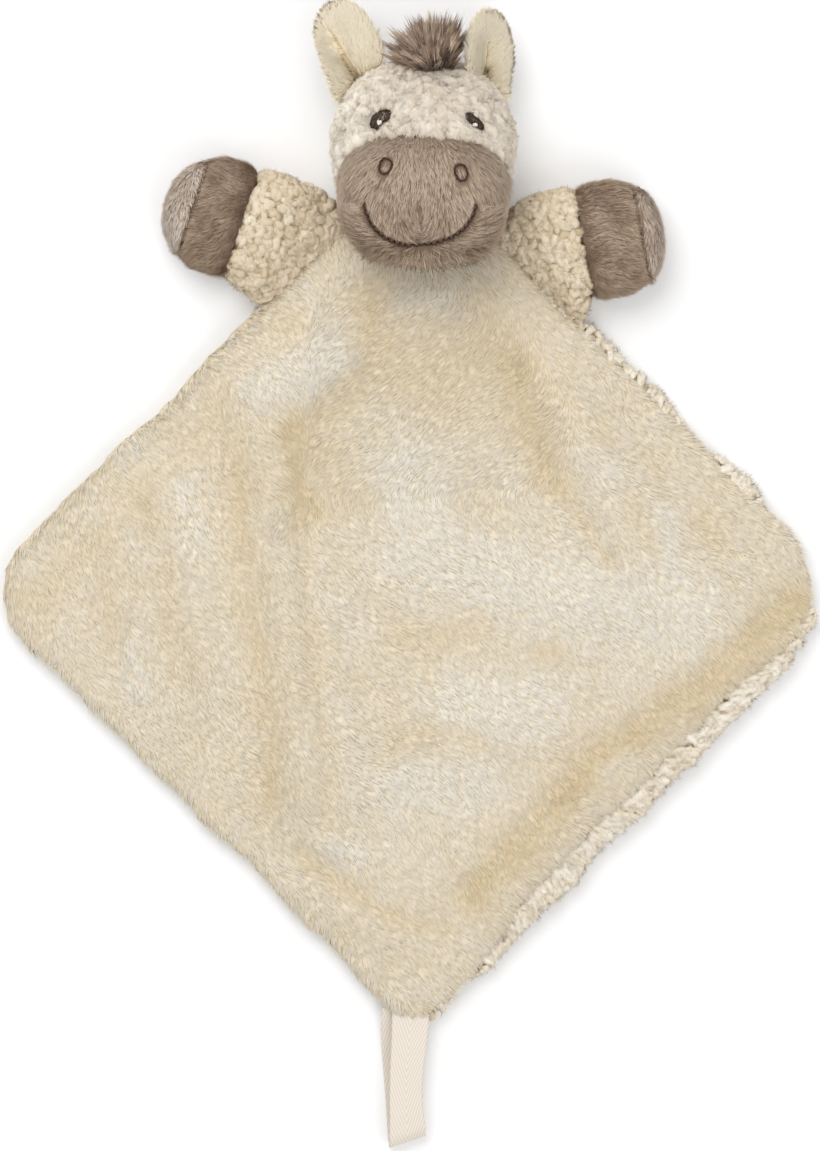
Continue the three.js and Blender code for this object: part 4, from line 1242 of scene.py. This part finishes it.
faceTree = treeOf(foreheadCover, muzzleCover)


def onFace(plan):
    # the spot that the camera sees in front of a point of the table
    eye = Vector((*viewCentre, eyeHeight))
    hit = faceTree.ray_cast(eye, (Vector((plan[0], plan[1], 0)) - eye).normalized())
    return np.array(hit[0]), np.array(hit[1])


def threadRun(points, radius, sides=6):
    # vertices and faces of one closed thread along its points, thinner at both ends
    points = np.array(points)
    along = unit(np.gradient(points, axis=0))
    side = unit(np.cross(along, up))
    rise = np.cross(side, along)
    count = len(points)
    vertices = []
    for k, (point, s, r) in enumerate(zip(points, side, rise)):
        thick = radius * (0.55 if k in (0, count - 1) else 1.0)
        for j in range(sides):
            turn = 2 * math.pi * j / sides
            vertices.append(point + (s * math.cos(turn) + r * math.sin(turn)) * thick)
    faces = []
    for k in range(count - 1):
        for j in range(sides):
            a, b = k * sides + j, k * sides + (j + 1) % sides
            faces += [[a, b, b + sides], [a, b + sides, a + sides]]
    last = (count - 1) * sides
    for j in range(1, sides - 1):
        faces += [[0, j + 1, j], [last, last + j, last + j + 1]]
    return np.array(vertices), np.array(faces)


def threadPiece(name, runs, radius, material):
    allPoints, allFaces, start = [], [], 0
    for run in runs:
        vertices, faces = threadRun(run, radius)
        allPoints.append(vertices)
        allFaces.append(faces + start)
        start += len(vertices)
    points, faces = np.concatenate(allPoints), np.concatenate(allFaces)
    uvs = np.tile(np.array([[0.1, 0.1], [0.9, 0.1], [0.5, 0.9]]), (len(faces), 1))
    obj = meshFromArrays(name, points, faces, uvs, material)
    editAll(obj, bpy.ops.mesh.normals_make_consistent, inside=False)
    obj.data.uv_layers.remove(obj.data.uv_layers[0])
    return obj


def stitchAcross(start, end, bulge, lift, steps=6):
    # one satin stitch over the face, arched between its two needle holes
    run = []
    for k in range(steps + 1):
        share = k / steps
        spot, normal = onFace(start + (end - start) * share)
        hole = stitching["satinHole"] if k in (0, steps) else 0
        run.append(spot + normal * (lift + bulge * math.sin(math.pi * share) - hole))
    return run


def satinPatch(outline, slant, spacing, bulge, lift):
    # parallel stitches that fill an outline of photograph pixels
    outline = np.array(outline)
    along = np.array([math.cos(slant), math.sin(slant)])
    across = np.array([-along[1], along[0]])
    reach = outline @ across
    runs = []
    position = reach.min() + spacing / 2
    while position < reach.max():
        crossings = []
        for a, b in zip(outline, np.roll(outline, -1, axis=0)):
            fa, fb = a @ across - position, b @ across - position
            if fa * fb < 0:
                crossings.append((a + (b - a) * fa / (fa - fb)) @ along)
        crossings.sort()
        for low, high in zip(crossings[::2], crossings[1::2]):
            if high - low > 0.8:
                start, end = along * low + across * position, along * high + across * position
                runs.append(stitchAcross(photoPoint(*start), photoPoint(*end), bulge, lift))
        position += spacing
    return runs


def backStitch(route, stitch, lift, bulge, wander=0.0):
    # separate stitches end to end along a route in plan
    route = np.array(route)
    draw = np.random.default_rng(len(route))
    steps = np.linalg.norm(np.diff(route, axis=0), axis=1)
    way = np.concatenate([[0], np.cumsum(steps)])
    count = max(int(round(way[-1] / stitch)), 1)
    spots = np.linspace(0, way[-1], count + 1)
    runs = []
    for a, b in zip(spots[:-1], spots[1:]):
        shares = np.linspace(a, b, 6)
        plan = np.stack([np.interp(shares, way, route[:, k]) for k in range(2)], axis=1)
        plan += draw.normal(0, wander, 2)
        run = []
        for k, spot in enumerate(plan):
            place, normal = onFace(spot)
            rise = lift + bulge * math.sin(math.pi * k / 5) - (stitching["backHole"] if k in (0, 5) else 0)
            run.append(place + normal * rise)
        runs.append(run)
    return runs


stitching = {
    "satinHole": 0.4 * mm, "backHole": 1.2 * mm,  # how deep the ends of a stitch dip
    "thread": {"eye": 0.22 * mm, "nostril": 0.4 * mm, "smile": 0.44 * mm},  # radius
    "eyeSlant": {"left": 125, "right": 60}, "glintTurn": 0.9,
    "eyeFill": {"spacing": 0.82, "bulge": 0.5 * mm, "lift": 1.4 * mm},  # spacing in photograph pixels
    "glintFill": {"spacing": 0.8, "bulge": 0.3 * mm, "lift": 2.1 * mm},
    "eyeEdge": {"stitch": 1.1 * mm, "lift": 1.2 * mm, "bulge": 0.15 * mm},
    "nostrilEdge": {"stitch": 1.8 * mm, "lift": 1.0 * mm, "bulge": 0.3 * mm, "wander": 0.12 * mm},
    "smileLine": {"stitch": 2.5 * mm, "lift": 1.1 * mm, "bulge": 0.4 * mm, "wander": 0.14 * mm}}
thread = stitching["thread"]
facePieces = {}
for side, slant in stitching["eyeSlant"].items():
    slant = math.radians(slant)
    runs = satinPatch(face[side + "Eye"], slant, **stitching["eyeFill"])
    runs += backStitch(eyeRoutes[side], **stitching["eyeEdge"])
    facePieces["eye_" + side] = threadPiece(side + "Eye", runs, thread["eye"], brownThread)
    px, py, halfWide, halfTall = face[side + "Glint"]
    glintOutline = [(px + halfWide * math.cos(k * math.pi / 4), py + halfTall * math.sin(k * math.pi / 4))
                    for k in range(8)]
    runs = satinPatch(glintOutline, slant - stitching["glintTurn"], **stitching["glintFill"])
    facePieces["eye_glint_" + side] = threadPiece(side + "Glint", runs, thread["eye"], whiteThread)
    runs = backStitch(ringRoute(*face[side + "Nostril"]), **stitching["nostrilEdge"])
    facePieces["nostril_" + side] = threadPiece(side + "Nostril", runs, thread["nostril"], brownThread)
runs = backStitch(smileRoute, **stitching["smileLine"])
facePieces["smile_stitch"] = threadPiece("smile", runs, thread["smile"], brownThread)
report("embroidery")


# Forelock, a fan of flattened locks from one tight root

forelockFan = {
    "root": (435, 68), "locks": 320, "each": 18, "width": 0.44 * mm, "seed": 301,
    "turns": [-100, -90, -58, -30, -7, 20, 32, 45, 60, 90],  # degrees from straight up, to the right
    "lengths": [14, 17, 21.5, 23, 23, 23, 22, 15, 11, 8]}  # mm in plan


def growForelock():
    fan = forelockFan
    draw = np.random.default_rng(fan["seed"])
    rings, shades, tints = [], [], []
    for _ in range(fan["locks"]):
        aside = draw.choice([draw.normal(-0.5, 0.5), draw.normal(0.15, 0.3)])
        aside = float(np.clip(aside, -1.7, 1.4))
        climb = draw.uniform(-0.1, 1.25)
        rootPlan = photoPoint(fan["root"][0] + 9 * math.sin(aside) + draw.normal(0, 2.5),
                              fan["root"][1] - 2 + draw.normal(0, 2.0), 29 * mm)
        root = np.array([rootPlan[0], rootPlan[1], (25 + 8 * climb) * mm])
        flat = math.cos(climb)
        way = unit(np.array([math.sin(aside) * flat, math.cos(aside) * flat, math.sin(climb)]))
        reach = np.interp(math.degrees(aside), fan["turns"], fan["lengths"]) * mm * draw.uniform(0.72, 1.04)
        tone = 0.52 + draw.normal(0, 0.27)
        for _ in range(fan["each"]):
            start = root + draw.normal(0, 1.0 * mm, 3)
            turned = unit(way + draw.normal(0, 0.12, 3))
            length = reach * draw.uniform(0.8, 1.05)
            end = root + way * length * 0.8 + turned * length * 0.2 + draw.normal(0, 0.5 * mm, 3)
            sag = np.array([0, 0, -1]) * length * 0.1
            middle = (start + end) / 2 - sag
            side = unit(np.cross(end - start, draw.normal(size=3))) * fan["width"] / 2
            lifted = unit(np.cross(side, end - start)) * fan["width"] * 0.3
            rings.append([start + side, start - side, start + lifted, middle + side * 1.1,
                          middle - side * 1.1, middle + lifted * 1.1, end + sag * 0.3])
            soft = unit(up * 0.7 + turned * 0.4)
            aslant, above = side / fan["width"], lifted / fan["width"]
            shades.append([soft + aslant, soft - aslant, soft + above, soft + aslant, soft - aslant,
                           soft, soft])
            tints.append(tone + draw.normal(0, 0.12))
    rings, shades, tints = np.array(rings), unit(np.array(shades)), np.array(tints)
    template = np.array([[0, 2, 1], [0, 1, 4], [0, 4, 3], [1, 2, 5], [1, 5, 4], [2, 0, 3], [2, 3, 5],
                         [3, 4, 6], [4, 5, 6], [5, 3, 6]])
    count = len(rings)
    faces = (np.arange(count)[:, None, None] * 7 + template[None]).reshape(-1, 3)
    heights = np.tile(np.array([0, 0, 0, 0.5, 0.5, 0.5, 1.0]), (count, 1))
    uvs = palette(tints, heights, faces)
    return meshFromArrays("forelock", rings.reshape(-1, 3), faces, uvs, forelockPile, shades.reshape(-1, 3))


forelockTuft = growForelock()
report("forelock")

headPieces = [  # piece, material slot, solids that it replaces
    (foreheadCover, "sherpa_pale", ["head_cover_front"]), (backHeadCover, "sherpa_pale", ["head_cover_back"]),
    (muzzleCover, "plush_taupe", ["muzzle_cover"]), (headFilling, "fibre_fill", ["head_stuffing"]),
    (underPile, "plush_taupe", []), *[(piece, "sherpa_pale", []) for piece in woolPieces],
    (muzzleFur, "plush_taupe", []), (chinFur, "plush_taupe", []),
    (forelockTuft, "long_pile_taupe", ["forelock"])]
headPieces += [(piece, "thread_white" if "glint" in node else "thread_dark", [node])
               for node, piece in facePieces.items()]
for piece, slot, nodes in headPieces:
    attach(piece, "head")
    if nodes:
        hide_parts(*nodes)


# Ears

ears = {  # base, crease and rim in photograph pixels; shifts of the back layer and of both layers in mm
    "left": {"base": (376, 96), "crease": [(338, 44), (344, 58), (353, 71), (364.5, 85)], "back": (-1.2, 1.2),
             "move": (0, 0), "shade": 5 * mm, "tone": 0.94,
             "rim": [[(314, 34), (318, 18), (328, 8), (342, 0)], [(360, 8), (372, 22)]]},
    "right": {"base": (483, 106), "crease": [(487, 54), (486, 70), (485, 84)], "back": (1.6, 0.6),
              "move": (-2.0, -1.6), "shade": 2.6 * mm, "tone": 1.0,
              "rim": [[(500, 10), (510, 24), (515, 44), (517, 74)]]}}
earLayer = {"step": 0.75 * mm, "shrink": 0.91, "backShrink": 0.955, "top": 12 * mm, "fill": 0.3}
earPileSettings = {
    "count": 8000, "seed": 401, "length": 4.4 * mm, "width": 0.42 * mm, "lift": 0.24, "liftStray": 0.1,
    "stray": 0.12, "sink": 0.1 * mm, "tintStray": 0.08, "soft": 0.85, "round": 0.3, "each": 10,
    "gather": 0.45, "lockStray": 0.06, "lockTint": 0.07, "darkShare": 0.03, "ridge": 0.3,
    "lean": (0, 0.4, 0.5)}
earBackTone = mottled(0.5, 0.2, 4 * mm, 412)


def resizePlan(obj, size, move):
    # draws a layer in towards its middle, and shifts it
    points = getPoints(obj)
    middle = points.mean(axis=0)
    points[:, :2] = middle[:2] + (points[:, :2] - middle[:2]) * size + np.array(move) * mm
    setPoints(obj, points)


def makeEar(side, ear):
    front = coverSkin(side + "EarFront", "ear_front_" + side, earLayer["step"], 5)
    back = coverSkin(side + "EarBack", "ear_back_" + side, earLayer["step"], 5)
    crease = planRoute(ear["crease"])
    rims = [planRoute(rim) for rim in ear["rim"]]
    base = photoPoint(*ear["base"])
    for layer in [front, back]:
        resizePlan(layer, earLayer["shrink"], ear["move"])
        dent(layer, crease, 4.5 * mm, 2.6 * mm, earLayer["top"])
        dent(layer, crease[1:], 1.9 * mm, 2.2 * mm, earLayer["top"])
    resizePlan(back, earLayer["backShrink"], ear["back"])
    skinMaterial(front, earBacking)
    skinMaterial(back, taupeBacking)

    def earFlow(points, normals):
        # combed up and out from the base, away from the fold
        axis = unit(crease[0] - crease[-1])
        across = np.array([axis[1], -axis[0]])
        aside = np.sign((points[:, :2] - crease[-1]) @ across)
        near = bell(lineDistance(points, crease), 6 * mm)
        course = unit(points[:, :2] - base) + aside[:, None] * across * (1.1 * near)[:, None]
        return np.column_stack([course, np.zeros(len(points))])

    def earTone(points, normals):
        # painted shade in the fold: broad along it, narrow in its lower part and slit; also darker towards
        # the base
        slit = bell(lineDistance(points, crease[-2:]), 1.5 * mm)
        narrow = bell(lineDistance(points, crease[1:]), 1.3 * mm)
        broad = bell(lineDistance(points, crease), ear["shade"])
        low = smooth01(22 * mm, 4 * mm, np.linalg.norm(points[:, :2] - base, axis=1))
        tone = ear["tone"] + 0.05 * softNoise(points, 8 * mm, 411) - 0.16 * low
        return tone - 0.4 * slit - 0.5 * narrow - 0.16 * broad

    def behind(points, normals):
        # the back, and round the rim where the taupe shows from the front
        shown = np.zeros(len(points), dtype=bool)
        for rim in rims:
            shown |= lineDistance(points, rim) < 2.4 * mm
        return np.where(normals[:, 2] < -0.5, 1.0, np.where(shown, 2.5, 0.0))

    frontSettings = dict(earPileSettings, stop=stopAt([crease[1:]], 0.35 * mm, 5 * mm))
    frontPile = growPile(side + "EarPile", front, frontSettings, earFlow, earTone, earPile, facingUp(-0.5))
    backSettings = dict(earPileSettings, count=4000, seed=402, length=2.8 * mm)
    backPile = growPile(side + "EarBackPile", back, backSettings, earFlow, earBackTone, taupePile, behind)
    pieces = [(front, "ear_plush", ["ear_front_" + side]), (back, "plush_taupe", ["ear_back_" + side]),
              (frontPile, "ear_plush", []), (backPile, "plush_taupe", [])]
    for piece, slot, nodes in pieces:
        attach(piece, "ear_" + side)
        if nodes:
            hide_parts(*nodes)


for side, ear in ears.items():
    makeEar(side, ear)
report("ears")


# Arms

arms = {  # root and tip in photograph pixels, angle in degrees, out is the way from the blanket to the arm
    "left": {"angle": 162, "root": (330, 240), "tip": (180, 200), "tone": 0.4, "soleTone": 0.62,
             "slide": 3.2 * mm, "out": (-1, 1)},
    "right": {"angle": 10, "root": (508, 255), "tip": (655, 228), "tone": 0.5, "soleTone": 0.44,
              "slide": 0.0, "out": (1, 1)}}
armPuff = {"pressure": 6.0, "frames": 20, "cap": 0.7 * mm}
armSizes = {
    "formStep": 2.2 * mm, "coverStep": 1.1 * mm, "fillingStep": 1.6 * mm, "middleHeight": 13 * mm,
    "armTop": 9 * mm,  # the side that faces up begins at this height
    "seamGap": 0.6 * mm, "pinReach": 2.6 * mm, "rootReach": 12 * mm, "flatEnd": 0.88, "fill": 0.7,
    "slideReach": 8 * mm, "slideAbove": 12 * mm, "lineReach": 0.45 * mm}
armTop = armSizes["armTop"]
sleeveCurls = {
    "count": 740, "reach": 2.0 * mm, "girth": 1.9 * mm, "height": 0.62, "arc": 2.6, "taper": 0.35,
    "steps": 6, "sides": 7, "stray": 3.0, "tilt": 0.35, "sink": 1.6 * mm, "wobble": 0.7 * mm,
    "wobbleSize": 3.0 * mm, "tintStray": 0.08, "floor": 0.1 * mm}
sleeveFuzz = dict(curlFuzz, count=13500, length=2.3 * mm, width=0.28 * mm, lift=0.75, liftStray=0.3,
                  stray=1.0, tintStray=0.14, each=9, gather=0.35, lockStray=0.1, lockTint=0.08,
                  lean=(0, 0.1, 0.4))
hoofPile = {
    "count": 14200, "length": 4.4 * mm, "width": 0.4 * mm, "lift": 0.24, "liftStray": 0.1, "stray": 0.08,
    "sink": 0.3 * mm, "tintStray": 0.12, "darkShare": 0.03, "floor": 0.1 * mm, "soft": 0.82, "round": 0.2,
    "each": 10, "gather": 0.3, "lockStray": 0.035, "lockTint": 0.06, "across": 0.3}
sleeveTone = mottled(0.34, 0.12, 9 * mm, 525)


def plumpArm(side, names, cuffSeam, soleSeam, rootPlan):
    # the stuffed arm as one form: its points before and after the cloth run
    form = stuffedForm("armForm", names, armSizes["formStep"])
    formPoints = getPoints(form)
    held = distanceTo(formPoints, np.concatenate([cuffSeam, soleSeam])) < armSizes["pinReach"]
    held |= np.linalg.norm(formPoints[:, :2] - rootPlan, axis=1) < armSizes["rootReach"]
    before, after = inflate(form, armPuff, held)
    bpy.data.objects.remove(form)
    report("%s arm form, moved up to %.1f mm" % (side, 1000 * np.linalg.norm(after - before, axis=1).max()))
    return before, after


def layOnBlanket(sleeve):
    # the sewn end of the sleeve is drawn in and up along the blanket's edge
    points = getPoints(sleeve)
    toRim = bell(lineDistance(points, blanketRim), 9 * mm)
    inward = unit(np.array([0.0, 20 * mm]) - points[:, :2])
    points[:, :2] += inward * 4.2 * mm * toRim[:, None]
    points[:, 2] += 2.0 * mm * toRim * smooth01(4 * mm, 9 * mm, points[:, 2])
    setPoints(sleeve, points)


def makeArm(side, limb):
    names = {part: part + "_" + side for part in ["sleeve", "hoof", "hoof_sole", "arm_stuffing"]}
    rootPlan, tipPlan = photoPoint(*limb["root"]), photoPoint(*limb["tip"])
    rootPoint, tipPoint = [*rootPlan, armSizes["middleHeight"]], [*tipPlan, armSizes["middleHeight"]]
    inwards = unit(rootPlan - tipPlan)
    cuffSeam = seamPoints(names["sleeve"], names["hoof"], armSizes["seamGap"])
    soleSeam = seamPoints(names["hoof"], names["hoof_sole"], armSizes["seamGap"])
    before, after = plumpArm(side, list(names.values()), cuffSeam, soleSeam, rootPlan)
    sleeve = coverSkin(side + "Sleeve", names["sleeve"], armSizes["coverStep"])
    hoof = coverSkin(side + "Hoof", names["hoof"], armSizes["coverStep"])
    sole = coverSkin(side + "Sole", names["hoof_sole"], armSizes["coverStep"])
    filling = coverSkin(side + "ArmFilling", names["arm_stuffing"], armSizes["fillingStep"], 4)

    def slideSeam(points):
        # the sole's seam as it lies in the photograph
        return slid(points, soleSeam, inwards * limb["slide"], armSizes["slideReach"], armSizes["slideAbove"])

    movedSeam = slideSeam(soleSeam)
    soleLine = seamRoute(movedSeam, unit(tipPlan - rootPlan), armTop)
    for cover in [sleeve, hoof, sole]:
        carry(cover, before, after)
        flattenEnd(cover, soleSeam, rootPlan, tipPlan, armSizes["flatEnd"])
        setPoints(cover, slideSeam(getPoints(cover)))
        tuckSeam(cover, movedSeam, 2.2 * mm, 1.2 * mm, rootPoint, tipPoint)
        dent(cover, soleLine, 1.8 * mm, 1.3 * mm, armTop)
        tuckSeam(cover, cuffSeam, 2.4 * mm, 1.2 * mm, rootPoint, tipPoint)
        if cover is not sleeve:
            closeSeam(cover, movedSeam, inwards * (1.0 if cover is sole else -0.7) * mm)
        aboveTable(cover)
    layOnBlanket(sleeve)
    # the filling stays well under the drawn in seams
    flattenEnd(filling, soleSeam, rootPlan, tipPlan, armSizes["flatEnd"])
    dent(filling, soleLine, 4 * mm, 2.5 * mm, armTop)
    setPoints(filling, getPoints(filling) - getNormals(filling) * 1.8 * mm)
    skinMaterial(sleeve, fleeceBacking)
    skinMaterial(hoof, taupeBacking)
    skinMaterial(sole, taupeBacking)
    skinMaterial(filling, whiteFilling)
    way = np.array([math.cos(math.radians(limb["angle"])), math.sin(math.radians(limb["angle"]))])

    def hoofFlow(points, normals):
        # combed out along the arm and down
        turn = 0.35 * softNoise(points, 14 * mm, 521)
        flat = np.stack([way[0] - turn * way[1], way[1] - 0.55 + turn * way[0]], axis=1)
        return np.column_stack([flat, np.full(len(points), -0.1)])

    def soleFlow(points, normals):
        turn = 0.35 * softNoise(points, 12 * mm, 522)
        return np.column_stack([turn, -np.ones(len(points)), np.zeros(len(points))])

    def hoofTone(points, normals):
        # painted shade down in both seams
        cuff = bell(distanceTo(points, cuffSeam), 3.0 * mm)
        groove = bell(lineDistance(points, soleLine), 1.3 * mm)
        return (limb["tone"] + 0.12 * softNoise(points, 14 * mm, 523) + 0.08 * softNoise(points, 4 * mm, 524)
                - 0.3 * cuff - 0.3 * groove)

    def soleTone(points, normals):
        return hoofTone(points, normals) + limb["soleTone"] - limb["tone"]

    own = len(side)  # keeps the seeds of the two arms apart
    curls = growCurls(side + "SleeveCurls", sleeve, dict(sleeveCurls, seed=501 + own), anyWay, sleeveTone,
                      fleeceCurl, openSide(sleeve))
    fuzz = growPile(side + "SleeveFuzz", curls, dict(sleeveFuzz, seed=505 + own), anyWay, sleeveTone,
                    fleeceCurl)
    hoofSettings = dict(hoofPile, seed=511 + own, stop=stopAt([soleLine], armSizes["lineReach"], armTop))
    hoofFur = growPile(side + "HoofPile", hoof, hoofSettings, hoofFlow, hoofTone, taupePile, openSide(hoof))
    soleSettings = dict(hoofSettings, count=7000, seed=531 + own, length=3.8 * mm)
    soleFur = growPile(side + "SolePile", sole, soleSettings, soleFlow, soleTone, solePile, openSide(sole))

    # the sleeve, its curls and fuzz stay fixed in place; the hoof, sole, filling and their pile go with the
    # arm
    pieces = [
        (sleeve, "sherpa_cream", [names["sleeve"]]), (hoof, "plush_taupe", [names["hoof"]]),
        (sole, "plush_sole", [names["hoof_sole"]]), (filling, "fibre_fill", [names["arm_stuffing"]]),
        (curls, "sherpa_cream", []), (fuzz, "sherpa_cream", []),
        (hoofFur, "plush_taupe", []), (soleFur, "plush_sole", [])]
    for piece, slot, nodes in pieces:
        if piece in [sleeve, curls, fuzz]:
            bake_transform(piece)
        else:
            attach(piece, "arm_" + side)
        if nodes:
            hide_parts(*nodes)


for side, limb in arms.items():
    makeArm(side, limb)
report("arms")


# Tape loop, one strip folded back under itself

tape = {
    "route": [  # middle and half width of the strip in photograph pixels and height in mm, from its front end
        (410.5, 1008, 18.4, 6.6), (410.5, 1022, 18.4, 6.9), (409.0, 1044, 17.6, 7.2),
        (406.8, 1068, 16.6, 7.4), (405.8, 1092, 16.2, 7.5), (406.6, 1116, 16.8, 7.4),
        (407.4, 1134, 17.8, 6.8), (407.5, 1142, 18.0, 5.0), (407.0, 1142, 18.0, 2.2),
        (405.6, 1130, 17.8, 0.9), (403.0, 1100, 17.2, 0.9), (399.6, 1060, 17.0, 1.4),
        (398.6, 1030, 17.4, 3.0), (400.0, 1008, 18.0, 4.6)],
    "fold": (1080, 1142),  # photograph rows over which the strip's end slants
    "slant": 0.34, "thickness": 0.8 * mm, "length": 111 * mm, "width": 14.5 * mm,
    "rib": 1.25 * mm, "twill": 3.0 * mm, "relief": 0.08 * mm, "twist": 0.3 * mm,
    "facesAcross": 24, "facesAlong": 220}


def tapeMaterial():
    # herringbone cotton, drawn on the strip's own map
    material, nodes, links, shader = nodeMaterial("cottonTape")
    across, along = addChart(nodes, links)

    def maths(operation, source, *values):
        node = nodes.new("ShaderNodeMath")
        node.operation = operation
        links.new(source, node.inputs[0])
        for index, value in enumerate(values, 1):
            node.inputs[index].default_value = value
        return node

    fold = maths("PINGPONG", across, 0.5)
    slope = maths("MULTIPLY", fold.outputs["Value"], -2 * math.pi * tape["width"] / tape["rib"])
    wave = maths("MULTIPLY_ADD", along, 2 * math.pi * tape["length"] / tape["twill"])
    links.new(slope.outputs["Value"], wave.inputs[2])
    sine = maths("SINE", wave.outputs["Value"])
    scale = nodes.new("ShaderNodeMapRange")
    scale.inputs["From Min"].default_value = -1
    links.new(sine.outputs["Value"], scale.inputs["Value"])
    colour = addRamp(nodes, links, scale.outputs["Result"], [(0.0, 221, 209, 193), (1.0, 236, 228, 217)])
    links.new(colour, shader.inputs["Base Color"])
    setFinish(shader, 0.85, 0.15, 0.1)
    return material


def makeTape():
    bpy.ops.mesh.primitive_grid_add(x_subdivisions=tape["facesAcross"],
                                    y_subdivisions=tape["facesAlong"], size=2)
    strip = bpy.context.object
    strip.name = "tapeLoop"
    strip.data.name = "tapeLoop"
    strip.data.uv_layers[0].name = "OFBake"
    flat = getPoints(strip)
    aside, share = flat[:, 0], (flat[:, 1] + 1) / 2
    # the route as a smooth curve, read off evenly along the strip
    route = np.array(tape["route"])
    steps = np.linalg.norm(np.diff(route[:, [0, 1]] * pixelSize, axis=0), axis=1)
    steps = np.hypot(steps, np.diff(route[:, 3]))
    way = np.concatenate([[0], np.cumsum(steps)]) / steps.sum()
    even = np.linspace(0, 1, 400)
    table = np.stack([np.interp(even, way, route[:, k]) for k in range(4)], axis=1)
    kernel = np.hanning(17) / np.hanning(17).sum()
    padded = np.pad(table, ((8, 8), (0, 0)), mode="reflect", reflect_type="odd")
    table = np.stack([np.convolve(padded[:, k], kernel, mode="valid") for k in range(4)], axis=1)
    px, py, half, height = (np.interp(share, even, table[:, k]) for k in range(4))
    slant = tape["slant"] * smooth01(*tape["fold"], py)
    x = (px + aside * half - photoMiddle[0]) * pixelSize * mm
    y = (photoMiddle[1] - py + aside * half * slant) * pixelSize * mm
    chevron = np.sin(2 * math.pi * (share * tape["length"] / tape["twill"]
                                    + np.abs(aside) * tape["width"] / 2 / tape["rib"]))
    z = height * mm + tape["relief"] * chevron + tape["twist"] * np.sin(share * 9) * aside
    setPoints(strip, np.stack([x, y, z], axis=1))
    applyModifier(strip, "SOLIDIFY", thickness=tape["thickness"], offset=0)
    aboveTable(strip, 0.1 * mm)
    shadeSmooth(strip)
    skinMaterial(strip, tapeMaterial())
    return strip


tapeLoop = makeTape()
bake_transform(tapeLoop)
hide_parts("hanger_loop")
report("tape loop")


# Camera, floor and light

studio = {
    "floorSize": 6, "floorShade": 0.86, "glow": 0.14, "skyStrength": 0.65,  # glow: seen by the camera alone
    "lamps": [  # name, place, size, power
        ("key", (-0.45, 0.9, 1.25), 1.3, 12.8), ("fill", (0.7, -0.8, 1.1), 1.2, 5.4)]}


def lookFrom():
    bpy.ops.object.camera_add(location=(viewCentre[0], viewCentre[1], eyeHeight), rotation=(0, 0, 0))
    camera = bpy.context.object
    camera.name = "camera"
    camera.data.lens = lensLength
    camera.data.sensor_width = sensorWidth
    camera.data.sensor_fit = "AUTO"
    camera.data.clip_start = 0.1
    camera.data.clip_end = 50
    bpy.context.scene.camera = camera


def studioFloor():
    bpy.ops.mesh.primitive_plane_add(size=studio["floorSize"], location=(0, 0, 0))
    floor = bpy.context.object
    floor.name = "floor"
    material, nodes, links, shader = nodeMaterial("floorPaper")
    shade = studio["floorShade"]
    shader.inputs["Base Color"].default_value = (shade, shade, shade, 1)
    shader.inputs["Emission Color"].default_value = (1, 1, 1, 1)
    setFinish(shader, 0.95, 0.0)
    path = nodes.new("ShaderNodeLightPath")
    seen = nodes.new("ShaderNodeMath")
    seen.operation = "MULTIPLY"
    seen.inputs[1].default_value = studio["glow"]
    links.new(path.outputs["Is Camera Ray"], seen.inputs[0])
    links.new(seen.outputs["Value"], shader.inputs["Emission Strength"])
    floor.data.materials.append(material)


def studioLight():
    world = bpy.data.worlds.new("studio")
    world.use_nodes = True
    sky = world.node_tree.nodes["Background"]
    sky.inputs["Color"].default_value = (1, 1, 1, 1)
    sky.inputs["Strength"].default_value = studio["skyStrength"]
    bpy.context.scene.world = world
    for name, place, size, power in studio["lamps"]:
        bpy.ops.object.light_add(type="AREA", location=place)
        lamp = bpy.context.object
        lamp.name = name
        lamp.data.shape = "DISK"
        lamp.data.size = size
        lamp.data.energy = power
        aim = Vector((0, 0.03, 0)) - Vector(place)
        lamp.rotation_euler = aim.to_track_quat("-Z", "Y").to_euler()


lookFrom()
studioFloor()
studioLight()
bpy.context.scene.view_settings.view_transform = "Standard"
report("camera, floor and light")
faces = sum(len(obj.data.polygons) for obj in bpy.context.scene.objects if obj.type == "MESH")
report("%d faces in all" % faces)
